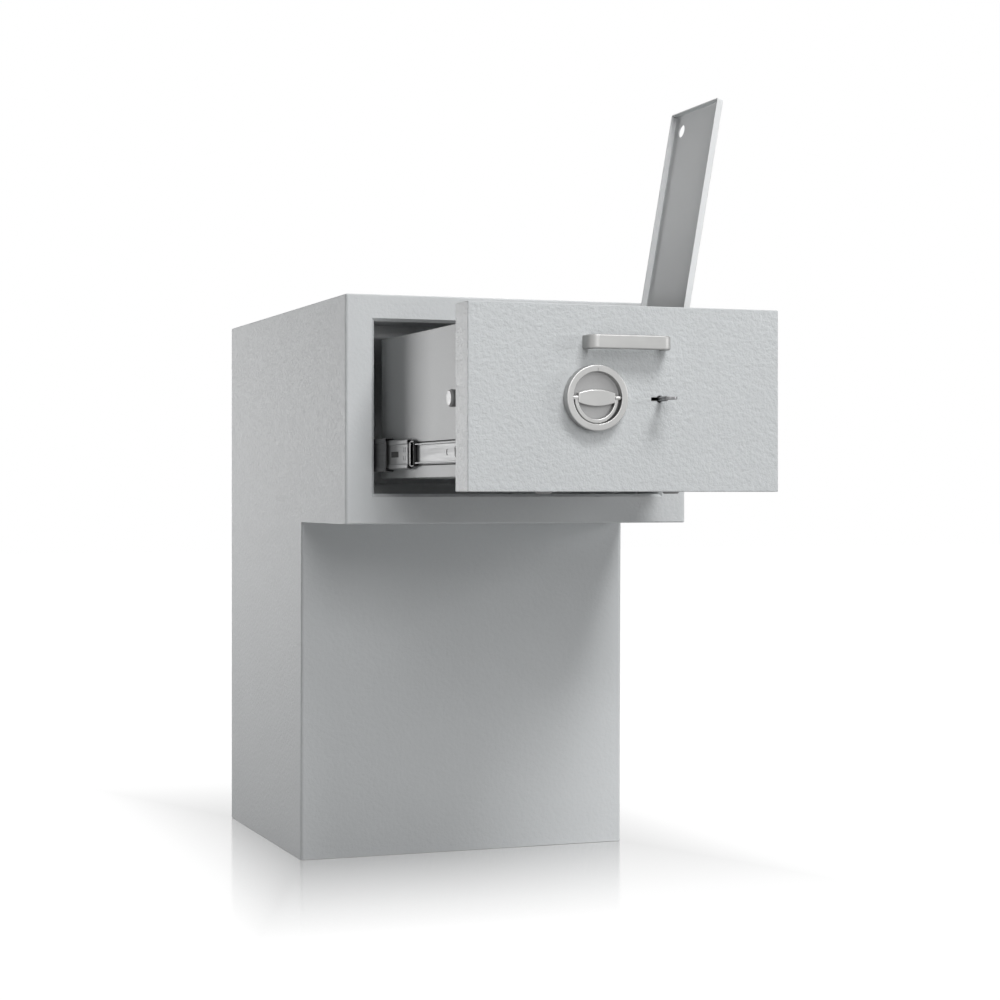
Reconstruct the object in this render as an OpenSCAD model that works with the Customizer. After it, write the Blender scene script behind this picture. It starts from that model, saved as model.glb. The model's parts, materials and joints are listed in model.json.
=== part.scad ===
// Drop safe with a deposit drawer, drawn with the drawer pulled out and its lid open.
// Millimetres, +Z up, the front looks along -Y, the origin lies under the lower chest.

/* [Body] */
// Width over the side panels
body_w = 500; // [490:5:520]
// Height over everything
body_h = 795; // [790:1:820]
// Depth of the upper box
body_d = 665; // [640:5:700]
// How far the upper box stands out over the chest
overhang = 230; // [220:1:234]
// Height of the overhang's underside above the floor
underside_z = 486; // [450:1:488]
// Thickness of the body plates
plate_t = 6; // [4:0.5:6]
// Outer radius of the bent front edges
bend_r = 4.5; // [2:0.5:5]

/* [Mouth] */
// Half the width between the front posts
mouth_x = 209.8; // [209.8:0.1:211]
// Lower edge of the mouth
mouth_z = 526.6; // [524:0.1:526.6]
// Clear height of the mouth
mouth_h = 232.6; // [231:0.1:237]
// Chamfer round the mouth
mouth_c = 4; // [1:0.5:4.5]
// Depth of the frame that takes the drawer front
frame_d = 75; // [75:1:80]
// Wall of the folded frame profiles
fold_t = 5; // [4:0.5:6]

/* [Bay] */
// Height of the ceiling stop behind the header
ceiling_z = 741; // [739:1:745]
// Height of the bay floor's upper face
floor_z = 541; // [538:0.5:543]
// Half the width between the bay walls
bay_x = 212; // [212:0.1:212.2]
// Sheet of the bay walls, floor and chute
sheet_t = 3; // [2:0.5:3]
// Half the width of the drop opening
drop_x = 195; // [190:1:200]
// Front edge of the drop opening behind the face
drop_y = 238; // [237:0.5:240]
// Length of the drop opening front to back
drop_len = 128; // [124:1:140]

/* [Drawer] */
// Half the width of the drawer front
front_x = 206; // [200:1:207]
// Lower edge of the drawer front
front_z = 529.5; // [528:0.5:531]
// Height of the drawer front
front_h = 227; // [220:1:228]
// Thickness of the drawer front
front_t = 45; // [40:1:45]
// Plate of the drawer front
skin_t = 4; // [3:0.5:5]
// Half the width over the tray sides
tray_x = 193; // [192.5:0.5:193]
// Sheet of the tray
tray_t = 2; // [1.5:0.5:2]
// Lower face of the tray
tray_z = 547.8; // [544:0.1:548]
// Upper edge of the tray sides
tray_top = 735; // [730:1:736]
// Rear end of the tray sides behind the drawer's face
tray_end = 388; // [380:1:395]
// Rear face of the boltwork case behind the drawer's face
case_y = 75.5; // [75:0.1:76]
// Partition between till and hopper behind the drawer's face
part_y = 240; // [236:1:242]
// Rear wall of the hopper behind the drawer's face
back_y = 362; // [360:1:366]

/* [Slides] */
// Travel of each of the three slide stages
stage = 122; // [110:1:122]
// Height of the slides' centre line
slide_z = 578.5; // [576:0.5:590]
// Length of the outer and the two middle members
slide_len = 350; // [340:1:355]
// Sheet of the slide members
rail_t = 1.4; // [1.2:0.1:1.4]
// Radius of the inner row of balls
ball_r = 2.5; // [2:0.1:2.5]
// Radius of the two outer rows of balls
small_ball_r = 1.4; // [1.2:0.1:1.4]
// Play between a ball and its groove
ball_play = 0.3; // [0.3:0.05:0.4]

/* [Knob and bail] */
// Sideways place of the knob
knob_x = -44; // [-46:1:-42]
// Height of the knob, the key and the side bolts
lock_z = 643; // [640:1:646]
// Outer radius of the knob
knob_r = 40; // [38:0.5:41]
// Radius of the knob's recess
recess_r = 31.75; // [31.5:0.25:32.5]
// How far the knob's rim stands out
knob_h = 13; // [12:0.5:14]
// Radius of the knob's spindle
spindle_r = 7; // [6:0.5:8]
// Half the width of the knob's centre bar
grip_x = 24.3; // [22:0.1:24.5]
// Half the height of the centre bar in its middle
grip_y = 10.3; // [9:0.1:11]
// Inner radius of the bail
bail_in = 25.8; // [25.4:0.1:25.8]
// Outer radius of the bail
bail_out = 31; // [29.5:0.1:31]

/* [Boltwork] */
// Radius of the round bolts
bolt_r = 10.7; // [10:0.1:10.7]
// Throw of the round bolts
throw = 18; // [14:1:18]
// Centre plane of the bolts behind the drawer's face
bolt_y = 60.4; // [60:0.1:60.6]
// Where the side bolts end when drawn back, from the middle
bolt_end = 209.2; // [208:0.1:209.2]
// Sideways place of the lower bolts from the middle
low_x = 86; // [84:1:86]
// Where the lower bolts end when drawn back
low_end = 527.1; // [527.1:0.1:528]
// Inner radius of the cam's spiral slots
cam_r = 22; // [20:1:22]
// Sideways place of the key
key_x = 43.5; // [43:0.5:44]
// Throw of the lock's own bolt
lock_throw = 10; // [8:1:10]

/* [Lid] */
// Sideways place of the lid's hinge
hinge_x = 115.3; // [110:0.1:118]
// Height of the lid's hinge
hinge_z = 732; // [728:0.5:732]
// Length of the lid from its hinge
lid_len = 304; // [290:1:304]
// Front edge of the lid behind the drawer's face
lid_y = 76.5; // [76.5:0.5:78]
// Width of the lid front to back
lid_w = 139; // [130:1:140]
// Depth of the lid's flanges
lid_d = 9; // [7:0.5:10]
// How far the open lid leans past upright
lid_lean = 10.05; // [5:0.05:12]

/* [Bow handle] */
// Sideways place of the bow handle
pull_x = -4; // [-10:1:2]
// Width of the bow handle
pull_w = 110; // [100:1:120]
// How far the bow handle stands out
pull_d = 25; // [22:0.5:30]
// Lower edge of the bow handle
pull_z = 702; // [698:1:704]
// Height of the bow handle's bar
pull_h = 17; // [14:1:18]

/* [Service door] */
// Half the width of the door in the back
door_x = 170; // [150:1:180]
// Lower edge of the door
door_z = 70; // [60:1:80]
// Height of the door
door_h = 370; // [340:1:380]
// Radius of the door's hinge knuckles
knuckle_r = 4; // [4:0.5:5]

/* [Hidden] */
$fn = 48;
fit = 0.05;
gap = 0.5;
chest_d = body_d - overhang;
face_y = overhang + chest_d / 2;
side_x = body_w / 2;
in_x = side_x - plate_t;
back_in = body_d - plate_t;
pull = 3 * stage;
top_in = body_h - plate_t;
mouth_top = mouth_z + mouth_h;
front_top = front_z + front_h;
wall_in = tray_x - tray_t;
edge = 0.01;
bolt_bore_r = bolt_r + 0.8;
bolt_hole_r = bolt_r + 0.5;
bar_y = front_t + 8;
bar_t = 5;
bar_half = 7.5;
bar_end = bolt_end - 43;
keyhole_r = 4.5;
shank_r = 3.2;
bit_len = 11;
bail_pivot = 7.5;
bail_pin_r = 1.5;
lid_eye_r = 3;
lid_pin_r = 1.5;
flap_y = part_y + 4;
flap_z = tray_z + 2;
flap_pin_r = 2;
turn_x = 25 - door_x;
turn_z = door_z + door_h / 2;
turn_r = 8;

// Places

module at_face() {
    translate([0, -face_y, 0]) children();
}

module in_drawer() {
    translate([0, -face_y - pull, 0]) children();
}

module handed(side) {
    mirror([side < 0 ? 1 : 0, 0, 0]) children();
}

module both() {
    handed(1) children();
    handed(-1) children();
}

// Forms

module block(low, high) {
    translate(low) cube(high - low);
}

module upright(z0, z1) {
    translate([0, 0, z0]) linear_extrude(z1 - z0) children();
}

module across(x0, x1) {
    translate([x0, 0, 0]) rotate([90, 0, 90]) linear_extrude(x1 - x0) children();
}

module inward(y0, y1) {
    translate([0, y1, 0]) rotate([90, 0, 0]) linear_extrude(y1 - y0) children();
}

module rod_x(x0, x1, y, z, r) {
    translate([x0, y, z]) rotate([0, 90, 0]) cylinder(h = x1 - x0, r = r);
}

module rod_y(x, z, y0, y1, r) {
    translate([x, y0, z]) rotate([-90, 0, 0]) cylinder(h = y1 - y0, r = r);
}

module rod_z(x, y, z0, z1, r) {
    translate([x, y, z0]) cylinder(h = z1 - z0, r = r);
}

module rounded(w, h, r) {
    square([w - 2 * r, h], center = true);
    square([w, h - 2 * r], center = true);
    for (x = [-1, 1], y = [-1, 1])
        translate([x * (w / 2 - r), y * (h / 2 - r)]) circle(r);
}

// Round bolt with a chamfered nose, the nose pointing up from the origin downwards
module bolt_pin(len) {
    nose = 2;
    rotate_extrude() polygon([[0, 0], [bolt_r - nose, 0], [bolt_r, nose], [bolt_r, len], [0, len]]);
}

// Body

module side_panel() {
    difference() {
        across(in_x, side_x)
            polygon([[0, underside_z], [0, body_h], [body_d, body_h], [body_d, 0],
                [overhang, 0], [overhang, underside_z]]);
        for (y = [0, overhang])
            upright(-edge, body_h + edge)
                translate([side_x, y]) difference() {
                    translate([-bend_r, -edge]) square(bend_r + edge);
                    translate([-bend_r, bend_r]) circle(bend_r);
                    translate([-bend_r, bend_r]) square(bend_r + 1);
                }
    }
}

module side_left() {
    color("silver") at_face() handed(-1) side_panel();
}

module side_right() {
    color("silver") at_face() side_panel();
}

module top_plate() {
    color("silver") at_face()
        block([-in_x, 0, top_in], [in_x, back_in, body_h]);
}

// The mouth with its chamfer, as a body to take away
module mouth_cut() {
    wide = mouth_x + mouth_c;
    block([-mouth_x, -1, mouth_z], [mouth_x, frame_d + 1, mouth_top]);
    intersection() {
        upright(mouth_z - mouth_c, mouth_top + mouth_c)
            polygon([[-wide - 1, -1], [wide + 1, -1], [mouth_x, mouth_c], [-mouth_x, mouth_c]]);
        across(-wide, wide)
            polygon([[-1, mouth_z - mouth_c - 1], [-1, mouth_top + mouth_c + 1],
                [mouth_c, mouth_top], [mouth_c, mouth_z]]);
    }
}

module post() {
    difference() {
        upright(underside_z + plate_t, top_in) difference() {
            translate([mouth_x, 0]) square([in_x - mouth_x, frame_d]);
            translate([mouth_x + fold_t, fold_t])
                square([in_x - mouth_x, frame_d - 2 * fold_t]);
        }
        mouth_cut();
        rod_x(mouth_x - 1, mouth_x + fold_t + 1, bolt_y, lock_z, bolt_bore_r);
    }
}

module post_left() {
    color("silver") at_face() handed(-1) post();
}

module post_right() {
    color("silver") at_face() post();
}

module header() {
    color("silver") at_face() difference() {
        across(-mouth_x, mouth_x) difference() {
            translate([0, mouth_top]) square([frame_d, top_in - mouth_top]);
            translate([fold_t, mouth_top + fold_t])
                square([frame_d - 2 * fold_t, top_in - mouth_top]);
        }
        mouth_cut();
    }
}

module sill() {
    base_z = underside_z + plate_t;
    color("silver") at_face() difference() {
        across(-mouth_x, mouth_x) difference() {
            translate([0, base_z]) square([frame_d, mouth_z - base_z]);
            translate([fold_t, base_z - 1])
                square([frame_d - 2 * fold_t, mouth_z - base_z - fold_t + 1]);
        }
        mouth_cut();
        for (x = [-low_x, low_x])
            rod_z(x, bolt_y, mouth_z - fold_t - 1, mouth_z + 1, bolt_bore_r);
    }
}

// Ceiling of the bay with its front flange, which stops the closed drawer's case
module stop_band() {
    color("gray") at_face() {
        block([-bay_x, frame_d, ceiling_z], [bay_x, frame_d + sheet_t, top_in]);
        block([-bay_x, frame_d + sheet_t, ceiling_z], [bay_x, back_in, ceiling_z + sheet_t]);
    }
}

module bay_floor() {
    flange = 20;
    color("gray") at_face() difference() {
        union() {
            block([-in_x, frame_d, floor_z - sheet_t], [in_x, back_in, floor_z]);
            block([-in_x, frame_d, floor_z - sheet_t - flange], [in_x, frame_d + sheet_t, floor_z]);
        }
        block([-drop_x, drop_y, floor_z - flange], [drop_x, drop_y + drop_len, floor_z + 1]);
    }
}

module bay_wall() {
    flange = 18;
    front = frame_d + sheet_t;
    block([bay_x, front, floor_z], [bay_x + sheet_t, back_in, ceiling_z]);
    block([bay_x + sheet_t, front, floor_z], [bay_x + flange, back_in, floor_z + sheet_t]);
    block([bay_x + sheet_t, front, floor_z + sheet_t], [bay_x + flange, front + sheet_t, ceiling_z]);
}

module bay_wall_left() {
    color("gray") at_face() handed(-1) bay_wall();
}

module bay_wall_right() {
    color("gray") at_face() bay_wall();
}

module underside() {
    color("silver") at_face()
        block([-in_x, 0, underside_z], [in_x, overhang, underside_z + plate_t]);
}

module chest_front() {
    color("silver") at_face()
        block([-in_x, overhang, 0], [in_x, overhang + plate_t, floor_z - sheet_t]);
}

module chest_base() {
    anchor_x = 170;
    anchor_y = 150;
    anchor_r = 7;
    color("silver") difference() {
        block([-in_x, plate_t - chest_d / 2, 0], [in_x, chest_d / 2 - plate_t, plate_t]);
        for (x = [-anchor_x, anchor_x], y = [-anchor_y, anchor_y])
            rod_z(x, y, -1, plate_t + 1, anchor_r);
    }
}

module back_plate() {
    play = 2;
    color("silver") at_face() {
        difference() {
            block([-in_x, back_in, 0], [in_x, body_d, body_h]);
            block([-door_x - play, back_in - 1, door_z - play],
                [door_x + play, body_d + 1, door_z + door_h + play]);
        }
        door_knuckles(0);
    }
}

// Knuckles of the service door: even ones on the back plate, odd ones on the door
module door_knuckles(start) {
    step = 15;
    axis_x = door_x + 4;
    axis_y = body_d + knuckle_r + gap;
    leaf = start == 0 ? [axis_x, axis_x + 16] : [axis_x - 16, axis_x];
    for (low = [door_z + 40, door_z + door_h - 85], i = [start : 2 : 2])
        difference() {
            union() {
                rod_z(axis_x, axis_y, low + i * step, low + (i + 1) * step - gap, knuckle_r);
                block([leaf[0], body_d, low + i * step],
                    [leaf[1], body_d + gap + sheet_t, low + (i + 1) * step - gap]);
            }
            if (start == 0)
                rod_z(axis_x, axis_y, low - 1, low + 3 * step + 1, knuckle_r / 2);
        }
}

module drop_chute() {
    deep = 45;
    low = floor_z - sheet_t - deep;
    color("gray") at_face() difference() {
        block([-drop_x - sheet_t, overhang + plate_t, low],
            [drop_x + sheet_t, drop_y + drop_len + sheet_t, floor_z - sheet_t]);
        block([-drop_x, drop_y, low - 1], [drop_x, drop_y + drop_len, floor_z]);
    }
}

// Slides: half the height of each member, and how far out its flanges start and its web lies,
// both from the tray side

inner_h = 12.7;
inner_tip = 5.5;
second_h = 19.25;
second_tip = 2;
second_web = 7.6;
middle_h = 22.45;
middle_tip = 2.5;
middle_web = 12.6;
outer_h = 25.75;
outer_tip = 3;
outer_web = bay_x - tray_x - rail_t;

// Ball rows between the members: distance out, half the distance between the rows, ball radius

row_a = [4, 15.275, ball_r];
row_b = [7, 20.15, small_ball_r];
row_c = [11, 23.4, small_ball_r];

module grooves(row) {
    for (s = [-1, 1])
        translate([row[0], s * row[1]]) circle(row[2] + ball_play);
}

module channel(half, tip, web) {
    difference() {
        translate([tip, -half]) square([web + rail_t - tip, 2 * half]);
        translate([tip - 1, rail_t - half]) square([web - tip + 1, 2 * (half - rail_t)]);
    }
}

module rail(side, y0, len) {
    at_face() handed(side) translate([tray_x, 0, slide_z]) inward(y0, y0 + len) children();
}

module outer_rail(side) {
    start = 85;
    rail(side, start, slide_len) difference() {
        channel(outer_h, outer_tip, outer_web);
        grooves(row_c);
    }
}

module middle_rail(side) {
    start = -38;
    rail(side, start, slide_len) difference() {
        channel(middle_h, middle_tip, middle_web);
        grooves(row_b);
        grooves(row_c);
    }
}

module second_rail(side) {
    start = -118;
    window_y = -79;
    window_len = 32;
    window_h = 3.8;
    difference() {
        rail(side, start, slide_len) difference() {
            channel(second_h, second_tip, second_web);
            grooves(row_a);
            grooves(row_b);
        }
        at_face() handed(side)
            block([tray_x + second_web - 1, window_y, slide_z - window_h],
                [tray_x + second_web + rail_t + 1, window_y + window_len, slide_z + window_h]);
    }
}

module inner_rail(side) {
    from_face = 50;
    rail(side, from_face - pull, tray_end - from_face) difference() {
        translate([0, -inner_h]) square([inner_tip, 2 * inner_h]);
        translate([rail_t, rail_t - inner_h]) square([inner_tip, 2 * (inner_h - rail_t)]);
        grooves(row_a);
    }
}

module slide_outer_left() {
    color("lightgray") outer_rail(-1);
}

module slide_outer_right() {
    color("lightgray") outer_rail(1);
}

module slide_middle_left() {
    color("lightgray") middle_rail(-1);
}

module slide_middle_right() {
    color("lightgray") middle_rail(1);
}

module slide_second_left() {
    color("lightgray") second_rail(-1);
}

module slide_second_right() {
    color("lightgray") second_rail(1);
}

module slide_inner_left() {
    color("lightgray") inner_rail(-1);
}

module slide_inner_right() {
    color("lightgray") inner_rail(1);
}

// Ball cage of both sides: a strip web with two arms and a row of balls in each arm
module ball_cage(row, web, y0, len, count) {
    arm = 0.8;
    both() {
        rail(1, y0, len) {
            translate([web, -row[1]]) square([arm, 2 * row[1]]);
            for (s = [-1, 1])
                translate([row[0] - row[2] / 2, s * row[1] - arm / 2])
                    square([web + arm - row[0] + row[2] / 2, arm]);
        }
        at_face() for (s = [-1, 1], i = [0 : count - 1])
            translate([tray_x + row[0], y0 + len * (i + 0.5) / count, slide_z + s * row[1]])
                sphere(row[2]);
    }
}

module ball_cage_outer() {
    start = 92;
    len = 208;
    color("goldenrod") ball_cage(row_c, outer_web - 2.3, start, len, 8);
}

module ball_cage_middle() {
    start = -30;
    len = 190;
    color("goldenrod") ball_cage(row_b, middle_web - 2.3, start, len, 8);
}

module ball_cage_inner() {
    start = -110;
    len = 120;
    color("goldenrod") ball_cage(row_a, second_web - 1.5, start, len, 5);
}

// Drawer front

// Keyhole of the drawer front, in the plane of the front
module keyhole(r) {
    slot = 11.5;
    slot_h = 4.5;
    translate([key_x, lock_z]) {
        circle(r);
        translate([-slot, -slot_h / 2]) square([slot, slot_h]);
    }
}

module drawer_front() {
    color("silver") in_drawer() difference() {
        block([-front_x, 0, front_z], [front_x, front_t, front_top]);
        block([skin_t - front_x, skin_t, front_z + skin_t],
            [front_x - skin_t, front_t + 1, front_top - skin_t]);
        rod_y(knob_x, lock_z, -1, skin_t + 1, spindle_r + fit);
        inward(-1, skin_t + 1) keyhole(keyhole_r);
    }
}

module drawer_liner() {
    color("silver") in_drawer() difference() {
        block([skin_t - front_x, front_t - skin_t, front_z + skin_t],
            [front_x - skin_t, front_t, front_top - skin_t]);
        rod_y(knob_x, lock_z, front_t - skin_t - 1, front_t + 1, spindle_r + fit);
        inward(front_t - skin_t - 1, front_t + 1) keyhole(keyhole_r);
    }
}

module spindle_sleeve() {
    wall = 3;
    color("lightgray") in_drawer() difference() {
        rod_y(knob_x, lock_z, skin_t, front_t - skin_t, spindle_r + fit + wall);
        rod_y(knob_x, lock_z, skin_t - 1, front_t, spindle_r + fit);
    }
}

module bow_handle() {
    bar = 8;
    outer_r = 13;
    inner_r = 5;
    bevel = 2;
    top = pull_z + pull_h;
    color("lightgray") in_drawer() intersection() {
        upright(pull_z, top) translate([pull_x, 0]) intersection() {
            difference() {
                rounded(pull_w, 2 * pull_d, outer_r);
                rounded(pull_w - 2 * bar, 2 * (pull_d - bar), inner_r);
            }
            translate([-pull_w, -2 * pull_d]) square([2 * pull_w, 2 * pull_d]);
        }
        across(pull_x - pull_w, pull_x + pull_w)
            polygon([[0, pull_z], [bevel - pull_d, pull_z], [-pull_d, pull_z + bevel],
                [-pull_d, top - bevel], [bevel - pull_d, top], [0, top]]);
    }
}

// Boltwork behind the front

module bolt_guides() {
    half = 14;
    thick = 22;
    low_top = 562;
    rear = case_y - 1.5;
    color("dimgray") in_drawer() {
        both() difference() {
            block([wall_in - thick, front_t, lock_z - half], [wall_in, rear, lock_z + half]);
            rod_x(wall_in - thick - 1, wall_in + 1, bolt_y, lock_z, bolt_r + fit);
        }
        both() difference() {
            block([low_x - half, front_t, tray_z + tray_t], [low_x + half, rear, low_top]);
            rod_z(low_x, bolt_y, tray_z, low_top + 1, bolt_r + fit);
        }
    }
}

module lock_body() {
    half = 18.5;
    wall = 3;
    deep = 67;
    low = lock_z - 17.5;
    top = lock_z + 23;
    nose = 5.5;
    color("gray") in_drawer() difference() {
        block([key_x - half, front_t, low], [key_x + half, deep, top]);
        block([key_x - half + wall, front_t - 1, low + wall],
            [key_x + half - wall, deep - wall, top - wall]);
        block([key_x - nose, bolt_y - 8, low - 1], [key_x + nose, bolt_y + 2, low + wall + 1]);
    }
}

module case_cover() {
    wall = 1.5;
    color("gray") in_drawer() {
        block([-wall_in, case_y - wall, tray_z + tray_t], [wall_in, case_y, tray_top]);
        block([-wall_in, front_t, tray_top - wall], [wall_in, case_y - wall, tray_top]);
    }
}

// Tray

module tray_side(side) {
    lip = 12;
    difference() {
        union() {
            block([wall_in, front_t, tray_z], [tray_x, tray_end, tray_top]);
            block([wall_in - lip, back_y + 2, tray_z], [wall_in, tray_end, tray_z + tray_t]);
        }
        rod_x(wall_in - 1, tray_x + 1, bolt_y, lock_z, bolt_hole_r);
        rod_x(wall_in - 1, tray_x + 1, flap_y, flap_z, flap_pin_r + fit);
    }
}

module tray_side_left() {
    color("silver") in_drawer() handed(-1) tray_side();
}

module tray_side_right() {
    color("silver") in_drawer() tray_side();
}

module tray_floor() {
    color("silver") in_drawer() difference() {
        block([-wall_in, front_t, tray_z], [wall_in, part_y, tray_z + tray_t]);
        for (x = [-low_x, low_x])
            rod_z(x, bolt_y, tray_z - 1, tray_z + tray_t + 1, bolt_hole_r);
    }
}

module till_partition() {
    top = tray_top - 10;
    color("silver") in_drawer()
        block([-wall_in, part_y - tray_t, tray_z + tray_t], [wall_in, part_y, top]);
}

module hinge_rail() {
    top = hinge_z - 4;
    stop_top = hinge_z + 6.5;
    rail_x = hinge_x + lid_pin_r;
    ear = 6;
    color("silver") in_drawer() {
        block([rail_x, case_y, tray_z + tray_t], [rail_x + tray_t, part_y - tray_t, top]);
        block([rail_x + 0.2, lid_y + lid_w / 2 - ear, top],
            [rail_x + 4, lid_y + lid_w / 2 + ear, stop_top]);
        for (y = [lid_y + 3, lid_y + lid_w - 3 - ear]) {
            rod_y(hinge_x, hinge_z, y, y + ear, lid_eye_r);
            block([rail_x, y, top - 1], [rail_x + tray_t, y + ear, hinge_z + 2]);
        }
        rod_y(hinge_x, hinge_z, lid_y + 1, lid_y + lid_w - 1, lid_pin_r);
    }
}

module hopper_back() {
    color("silver") in_drawer()
        block([-wall_in, back_y, tray_z + tray_t], [wall_in, back_y + tray_t, tray_top]);
}

// Lid, drawn closed about its hinge and then swung open

module lid_shell() {
    wall = 1.5;
    start = 4;
    corner = 2.5;
    pad = 2 * lid_d;
    difference() {
        intersection() {
            block([-lid_len, 0, -lid_d], [-start, lid_w, 0]);
            inward(0, lid_w) translate([-lid_len / 2, -pad / 2]) rounded(lid_len, pad, corner);
            across(-lid_len, 0) translate([lid_w / 2, -pad / 2]) rounded(lid_w, pad, corner);
        }
        block([wall - lid_len, wall, -lid_d - 1], [1 - start, lid_w - wall, -wall]);
        lid_hole();
    }
}

// Keyhole-shaped hole near the lid's free end
module lid_hole() {
    reach = 279.7;
    from_rear = 24;
    r = 7;
    slot = 12;
    slot_w = 8;
    upright(-5, 1) translate([-reach, lid_w - from_rear]) {
        circle(r);
        translate([-slot_w / 2, -slot]) square([slot_w, slot]);
    }
}

module till_lid() {
    ear = 10;
    leaf = [[-6, -2], [-2.5, 0]];
    color("silver") in_drawer()
        translate([hinge_x, lid_y, hinge_z]) rotate([0, 90 + lid_lean, 0]) {
            lid_shell();
            difference() {
                union() {
                    for (y = [[ear, lid_w / 2 - ear], [lid_w / 2 + ear, lid_w - ear]]) {
                        rod_y(0, 0, y[0], y[1], lid_eye_r);
                        block([leaf[0][0], y[0], leaf[1][0]], [leaf[0][1], y[1], leaf[1][1]]);
                    }
                }
                rod_y(0, 0, -1, lid_w + 1, lid_pin_r + fit);
            }
        }
}

// Knob, drawn in its own plane: x right, y up, z out of the front

module at_knob() {
    in_drawer() translate([knob_x, 0, lock_z]) rotate([90, 0, 0]) children();
}

// Outline of the centre bar, whose upper and lower edges are flat arcs
module lens() {
    rise = 4.5;
    arc_r = (pow(grip_x, 2) + pow(rise, 2)) / (2 * rise);
    intersection() {
        translate([0, grip_y - arc_r]) circle(arc_r, $fn = 180);
        translate([0, arc_r - grip_y]) circle(arc_r, $fn = 180);
        square([2 * grip_x, 2 * grip_y], center = true);
    }
}

module pull_knob() {
    lift = 0.4;
    dish = 3;
    grip_h = 10.5;
    out_r = 1.5;
    in_r = 1;
    mark = 1.4;
    color("lightgray") at_knob() {
        difference() {
            rotate_extrude($fn = 96) {
                translate([0, lift]) square([knob_r, dish - lift]);
                translate([recess_r, lift]) square([knob_r - recess_r, knob_h - out_r - lift]);
                translate([recess_r + in_r, lift])
                    square([knob_r - recess_r - in_r - out_r, knob_h - lift]);
                translate([knob_r - out_r, knob_h - out_r]) circle(out_r);
                translate([recess_r + in_r, knob_h - in_r]) circle(in_r);
                translate([recess_r, lift]) square([in_r, knob_h - in_r - lift]);
            }
            translate([-mark / 2, recess_r + 0.9, knob_h - 1]) cube([mark, 3.3, 2]);
        }
        translate([0, 0, dish - edge]) linear_extrude(grip_h - dish) lens();
        for (s = [0, 180])
            rotate([0, 0, s]) rod_x(grip_x - 1, recess_r + edge, 0, bail_pivot, bail_pin_r);
        translate([0, 0, -front_t - 2]) cylinder(h = front_t + 2 + lift + edge, r = spindle_r);
    }
}

// Spiral slot whose radius grows evenly with the angle, for a linear throw
module spiral(from) {
    half = 3.9;
    steps = 24;
    over = 8;
    turn = 90;
    at = [for (i = [0 : steps]) -over + i * (turn + 2 * over) / steps];
    polygon(concat(
        [for (a = at) (cam_r + throw * a / turn + half) * [cos(from + a), sin(from + a)]],
        [for (i = [steps : -1 : 0])
            (cam_r + throw * at[i] / turn - half) * [cos(from + at[i]), sin(from + at[i])]]));
}

module cam_disc() {
    disc_r = 50;
    thick = 4;
    near = front_t + 2;
    nut_r = 10;
    color("gray") in_drawer() translate([knob_x, 0, lock_z]) {
        inward(near, near + thick) difference() {
            circle(disc_r, $fn = 96);
            for (from = [180, 0, 270])
                spiral(from);
        }
        rod_y(0, 0, near + thick, near + thick + 5, nut_r, $fn = 6);
    }
}

module bail() {
    thick = 4;
    eye_r = 3;
    mid = (bail_in + bail_out) / 2;
    color("lightgray") at_knob() difference() {
        union() {
            rotate([0, 0, 180]) rotate_extrude(angle = 180, $fn = 96)
                translate([mid, bail_pivot]) rounded(bail_out - bail_in, thick, 1.5);
            for (s = [0, 180])
                rotate([0, 0, s]) rod_x(bail_in, bail_out, 0, bail_pivot, eye_r);
        }
        rod_x(-bail_out - 1, bail_out + 1, 0, bail_pivot, bail_pin_r + fit);
    }
}

// Key and lock

module key() {
    thick = 3.2;
    reach = 38;
    bow_w = 17;
    bow_l = 20;
    bit_t = 2.4;
    tip = front_t + 11;
    color("gray") in_drawer() {
        rod_y(key_x, lock_z, bow_l - reach - 2, tip, shank_r);
        block([key_x - bit_len, front_t + 3, lock_z - bit_t / 2], [key_x, tip, lock_z + bit_t / 2]);
        upright(lock_z - thick / 2, lock_z + thick / 2)
            translate([key_x, bow_l / 2 - reach]) difference() {
                rounded(bow_w, bow_l, 7);
                translate([0, -2]) rounded(8, 6, 2.5);
            }
    }
}

module lock_curtain() {
    disc_r = 13;
    near = front_t + 5;
    thick = 4;
    crank = lock_throw;
    pin_r = 1.5;
    slot_half = 1.4;
    color("goldenrod") in_drawer() {
        inward(near, near + thick) difference() {
            translate([key_x, lock_z]) circle(disc_r);
            translate([key_x, lock_z]) circle(shank_r + 0.1);
            translate([key_x - bit_len - 0.2, lock_z - slot_half])
                square([bit_len + 0.2, 2 * slot_half]);
        }
        rod_y(key_x, lock_z + crank, near + thick - edge, near + thick + 7, pin_r);
    }
}

module lock_bolt() {
    near = front_t + 12.5;
    thick = 4;
    nose = 5;
    low = -19;
    plate = [22, 21];
    plate_low = -4;
    window = [14, 5.9];
    color("goldenrod") in_drawer() translate([key_x, 0, lock_z]) {
        inward(near, near + thick) difference() {
            translate([-14.5, plate_low]) square(plate);
            translate([-12, 8.2]) square(window);
        }
        block([-nose, near, low], [nose, near + thick, plate_low]);
        block([-nose, front_t + 8.5, low], [nose, near, low + 4.5]);
    }
}

module bar_pin(x, z) {
    pin_r = 3;
    rod_y(x, z, front_t + 2.3, bar_y + edge, pin_r);
}

module side_bolt() {
    len = 45;
    translate([bolt_end, bolt_y, lock_z]) rotate([0, -90, 0]) bolt_pin(len);
}

module bolt_left() {
    tip = knob_x - cam_r;
    color("white") in_drawer() {
        handed(-1) side_bolt();
        block([-bar_end, bar_y, lock_z - bar_half],
            [tip + bar_half, bar_y + bar_t, lock_z + bar_half]);
        bar_pin(tip, lock_z);
    }
}

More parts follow.
